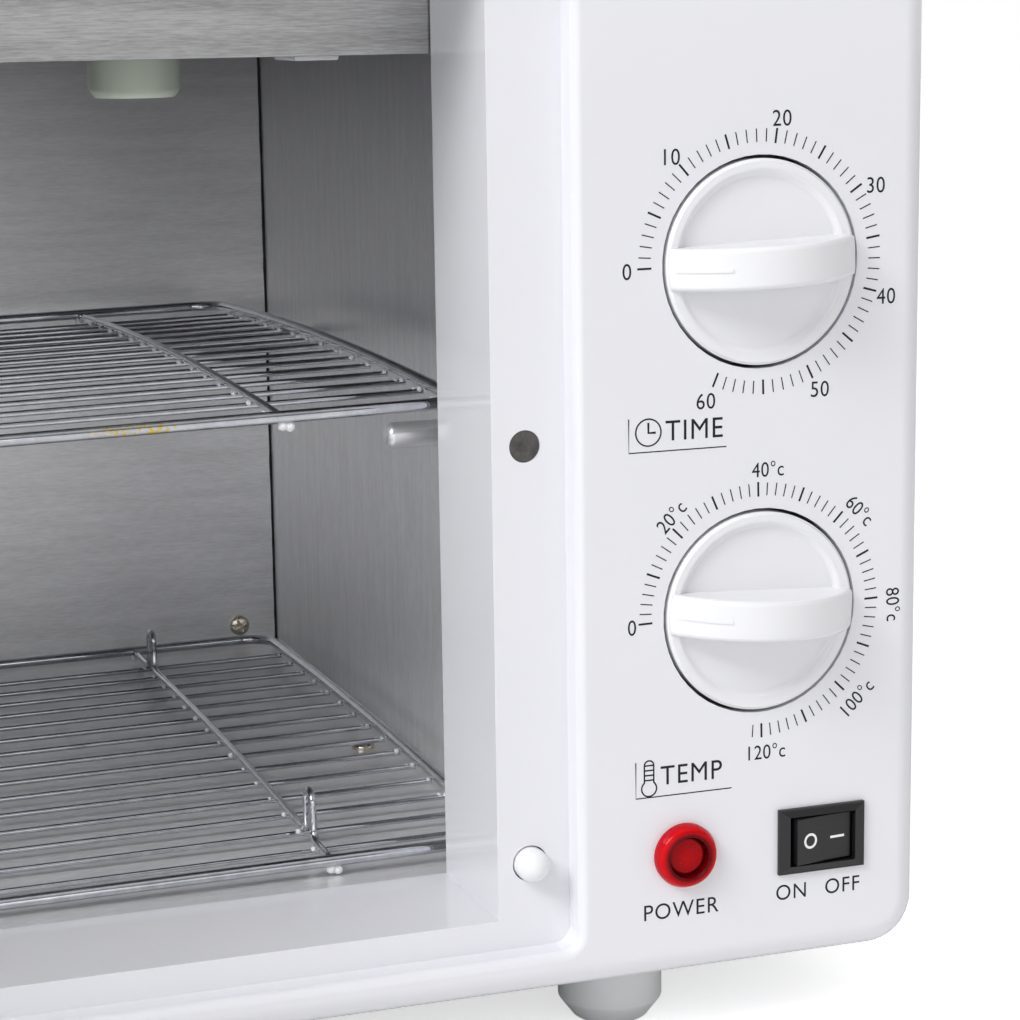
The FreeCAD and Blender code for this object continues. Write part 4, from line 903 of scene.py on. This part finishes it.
def wire_rack(node, origin, turn, tilt, bow, with_loops):
    """A whole rack in the place of its node, a little tilted and bowed as the real one is."""
    def bent(spot):
        x, y, z = spot
        middle = RACK_DEEP / 2
        return (x, y, z + x * math.sin(math.radians(tilt))
                + bow * (1 - ((y - middle) / middle) ** 2))

    loops = [ROD_START + ROD_PITCH * 0.5, ROD_START + ROD_PITCH * (ROD_COUNT - 1.5)]
    stay_spots = (-RACK_HALF + STAY_IN, RACK_HALF - STAY_IN)
    rods, welds, drops = [], [], []
    level = -(RAIL + ROD)
    random.seed(5)
    for n in range(ROD_COUNT):
        y = ROD_START + ROD_PITCH * n
        end = RACK_HALF - rod_end(y)
        sway = 0.35 * (random.random() - 0.5)
        rods.append([(-end, y, level), (0, y + sway, level), (end, y, level)])
        for x in (-end, end):
            inward = math.copysign(1.0, -x)
            welds += [(x + 0.9 * inward, y - 0.3, level + 0.55),
                      (x + 2.3 * inward, y + 0.2, level + 0.4)]
        for x in stay_spots:
            welds += [(x - 1.15, y - 0.2, level + 0.6), (x + 1.1, y + 0.2, level + 0.5)]
    for x in stay_spots:
        for y in (0.3, RACK_DEEP - 0.3):
            drops += [(x - 0.5, y, -RAIL - 0.6), (x + 1.1, y, -RAIL - 0.9)]
    stays = [stay_line(x, loops if with_loops else []) for x in stay_spots]
    beads = [spread(bead_mesh(size), [tuple(value * MM for value in bent(spot)) for spot in spots],
                    UP, weld_bright, vary=0.3, seed=11)
             for size, spots in ((0.6, welds), (1.05, drops))]
    mesh = joined(node, [drawn([[bent(spot) for spot in path] for path in paths], gauge, sides)
                         for paths, gauge, sides in (([rack_ring()], RAIL, 20), (rods, ROD, 12),
                                                     (stays, STAY, 14))] + beads)
    mesh.transform(Matrix.Translation([value * MM for value in origin])
                   @ Matrix.Rotation(math.radians(turn), 4, "Z"))
    return show(node + "_form", mesh, body_of[node], slot_of[node], node)


weld_bright, tree, shader, where = finish("weld_bright", 0.15, 1.0)
lumps = noise(tree, where, 1300.0, 3.0)
tinted(tree, shader, lumps, (0.6, 0.61, 0.64), (1.0, 1.0, 1.0))
raised(tree, shader, lumps, 0.6, 0.0001)
wire_rack("upper_rack", (-27.5, -107.5, 139.6), 0.95, 0.9, 2.6, False)
wire_rack("lower_rack", (-18.3, -102.0, 36.4), 0.0, 0.5, 2.0, True)

# Rack pins: turned stainless studs with a domed end, riveted through the chamber's walls. The
# upper rack lies on them.

pin_steel = brushed("pin_steel", (60.0, 900.0, 900.0), (0.78, 0.78, 0.79), (0.92, 0.92, 0.93),
                    rough=(0.3, 0.4), depth=0.00002, metallic=0.75)
dress("rack_pins", pin_steel, corner=50.0)

# Lamp group: a brushed strip with a hemmed lower edge hides the tube, its two white holders
# and the pale green starter, which hangs in its socket under the ceiling.

strip_steel = brushed("brushed_strip", (160.0, 1500.0, 2400.0), (0.26, 0.26, 0.26),
                      (0.44, 0.44, 0.445), rough=(0.28, 0.4))
dress("lamp_shield", strip_steel, edge=0.25)
holder_white = moulded("holder_white", (0.8, 0.8, 0.8), (0.84, 0.84, 0.84), rough=(0.4, 0.55))
for node in ("lamp_holder_left", "lamp_holder_right", "terminal_block"):
    dress(node, holder_white, edge=0.5)
for node in ("starter_socket", "hinge_bushes"):
    dress(node, holder_white)
starter_green, tree, shader, where = finish("starter_green", 0.3, Transmission_Weight=0.0,
                                            Coat_Weight=0.2)
high_up = add(tree, "ShaderNodeSeparateXYZ", {0: where}).outputs[2]
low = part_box("starter")[0].z
rim = add(tree, "ShaderNodeMapRange", {"Value": high_up, "From Min": low + 0.2 * MM,
                                       "From Max": low + 1.6 * MM}).outputs[0]
tone = blend_colour(tree, rim, (0.7, 0.75, 0.64, 1), (0.43, 0.47, 0.385, 1))
seam = maths(tree, "COMPARE", high_up, 221.0 * MM, 0.35 * MM)
tone = blend_colour(tree, maths(tree, "MULTIPLY", seam, 0.6), tone, (0.6, 0.64, 0.55, 1))
milk = noise(tree, where, 90.0, 3.0)
tree.links.new(blend_colour(tree, maths(tree, "MULTIPLY", milk, 0.35), tone,
                            (0.55, 0.6, 0.52, 1)), shader["Base Color"])
raised(tree, shader, maths(tree, "ADD", milk, seam), 0.3, 0.0002)
dress("starter", starter_green, corner=40.0)
lamp_glass, tree, shader, where = finish("lamp_glass", 0.05)
dust = noise(tree, where, 120.0, 4.0)
tinted(tree, shader, dust, (0.6, 0.66, 0.72), (0.75, 0.8, 0.86))
raised(tree, shader, dust, 0.05, 0.0001)
dress("uv_tube", lamp_glass)

# Casing: painted sheet steel folded over the top and the sides, with a vented rear panel
# screwed into it, a zinc-coated base plate, a cable gland and four grey plastic feet.

casing_white = moulded("casing_white", (0.755, 0.755, 0.79), (0.785, 0.785, 0.82), 2.0,
                       rough=(0.25, 0.38), depth=0.00005)
dress("outer_casing", casing_white)
dress("rear_panel", casing_white)
zinc_sheet, tree, shader, where = finish("zinc_sheet", 0.4, 0.8)
cells = add(tree, "ShaderNodeTexVoronoi", {"Vector": where, "Scale": 130.0})
tinted(tree, shader, cells.outputs["Color"], (0.38, 0.39, 0.4), (0.55, 0.56, 0.58))
raised(tree, shader, cells.outputs["Distance"], 0.1, 0.00005)
coat(zinc_sheet, "base_plate", "heating_plate", "control_bracket", "lamp_ballast")
inner_black = moulded("inner_black", (0.02, 0.02, 0.022), (0.045, 0.045, 0.048), 3.0,
                      rough=(0.45, 0.6), depth=0.00005)
dress("cable_gland", inner_black, corner=35.0, edge=0.3)
coat(inner_black, "timer_body", "heat_control_body", "door_switch_body")
blanket_grey, tree, shader, where = finish("blanket_grey", 0.95)
felt = noise(tree, where, 800.0, 5.0, 0.8)
tinted(tree, shader, felt, (0.5, 0.5, 0.46), (0.78, 0.78, 0.73))
raised(tree, shader, felt, 0.8, 0.0006)
coat(blanket_grey, "insulation_blanket")
foot_grey = moulded("foot_grey", (0.62, 0.63, 0.63), (0.7, 0.71, 0.71), rough=(0.3, 0.45))
for node in ("foot_front_left", "foot_front_right", "foot_rear_left", "foot_rear_right"):
    dress(node, foot_grey, corner=30.0, edge=0.4)

# Door: a white moulded frame in two halves holds clear glass, with a grey seal round the
# opening, a strike plate for the magnet, a bar handle and pins and bushes for its hinge.

dress("door_outer_frame", housing_white)
dress("door_inner_frame", housing_white, edge=0.6)
dress("door_handle", housing_white, corner=50.0)
clear_glass, tree, shader, where = finish("clear_glass", 0.02, Transmission_Weight=1.0, IOR=1.45)
haze = noise(tree, where, 30.0, 3.0)
tinted(tree, shader, haze, (0.9, 0.95, 0.94), (0.96, 0.98, 0.98))
raised(tree, shader, haze, 0.02, 0.0001)
coat(clear_glass, "door_glass")
seal_grey = moulded("seal_grey", (0.28, 0.28, 0.29), (0.36, 0.36, 0.37), 3.0, rough=(0.6, 0.75))
dress("door_gasket", seal_grey, edge=0.5)
bright_steel = brushed("bright_steel", (900.0, 60.0, 900.0), (0.6, 0.6, 0.61), (0.74, 0.74, 0.75),
                       rough=(0.15, 0.25))
for node in ("strike_plate", "hinge_plate_bottom", "hinge_plate_top"):
    dress(node, bright_steel, edge=0.2)
for node in ("hinge_pin_bottom", "hinge_pin_top", "timer_shaft", "heat_control_shaft"):
    dress(node, bright_steel)

# Studio: a plain pale floor, a white surround, two large soft lamps above left and a weak one in
# front. What shines sees a bright band of room above eye level and darker room over it.

FLOOR_REACH = 6.0
ROOM_LIGHT = 0.57
floor_mesh = bpy.data.meshes.new("floor")
floor_mesh.from_pydata([(FLOOR_REACH * x, FLOOR_REACH * y, 0.0)
                        for x, y in ((-1, -1), (1, -1), (1, 1), (-1, 1))], [], [(0, 1, 2, 3)])
floor = bpy.data.objects.new("floor", floor_mesh)
bpy.context.collection.objects.link(floor)
floor_pale, tree, shader, where = finish("floor_pale", 0.7, Specular_IOR_Level=0.2)
speck = noise(tree, where, 8.0, 2.0)
tinted(tree, shader, speck, (0.95, 0.95, 0.95), (0.96, 0.96, 0.96))
rays = tree.nodes.new("ShaderNodeLightPath").outputs
shader["Emission Color"].default_value = (1, 1, 1, 1)
tree.links.new(maths(tree, "MULTIPLY", rays["Is Camera Ray"], 0.6), shader["Emission Strength"])
floor_mesh.materials.append(floor_pale)

surround = bpy.data.worlds.new("surround")
bpy.context.scene.world = surround
surround.use_nodes = True
tree = surround.node_tree
rays = tree.nodes.new("ShaderNodeLightPath").outputs
height = add(tree, "ShaderNodeSeparateXYZ",
             {0: tree.nodes.new("ShaderNodeTexCoord").outputs["Generated"]}).outputs[2]
room = add(tree, "ShaderNodeValToRGB", {0: maths(tree, "MULTIPLY_ADD", height, 0.5, 0.5)})
room.color_ramp.elements[1].position = 1.0
for place, tone in ((0.46, 0.35), (0.51, 1.0), (0.62, 1.0), (0.68, 0.15), (0.78, 0.3)):
    room.color_ramp.elements.new(place).color = (tone, tone, tone, 1)
for element, tone in ((room.color_ramp.elements[0], 0.6), (room.color_ramp.elements[-1], 0.9)):
    element.color = (tone, tone, tone, 1)
camera_white = maths(tree, "MAXIMUM", rays["Is Camera Ray"], rays["Is Transmission Ray"])
shine = maths(tree, "MULTIPLY", rays["Is Glossy Ray"], room.outputs[0])
plain = maths(tree, "MULTIPLY", maths(tree, "SUBTRACT", 1.0, rays["Is Glossy Ray"]), ROOM_LIGHT)
level = maths(tree, "MAXIMUM", camera_white, maths(tree, "ADD", shine, plain))
tree.nodes["Background"].inputs["Color"].default_value = (1, 1, 1, 1)
tree.links.new(level, tree.nodes["Background"].inputs["Strength"])


def soft_lamp(name, place, aim, width, height, power):
    """A large rectangular lamp that faces a point."""
    lamp = bpy.data.lights.new(name, "AREA")
    lamp.shape = "RECTANGLE"
    lamp.size, lamp.size_y, lamp.energy = width, height, power
    holder = bpy.data.objects.new(name, lamp)
    holder.location = place
    holder.rotation_euler = (Vector(aim) - Vector(place)).to_track_quat("-Z", "Y").to_euler()
    bpy.context.collection.objects.link(holder)


soft_lamp("key_lamp", (-1.0, -0.95, 1.3), (0.05, -0.1, 0.1), 0.8, 0.7, 12.0)
soft_lamp("side_lamp", (-1.2, -0.6, 1.2), (0.1, -0.1, 0.1), 0.6, 0.6, 12.0)
soft_lamp("low_lamp", (-0.25, -1.6, 0.5), (0.0, -0.1, 0.1), 1.2, 0.5, 1.6)
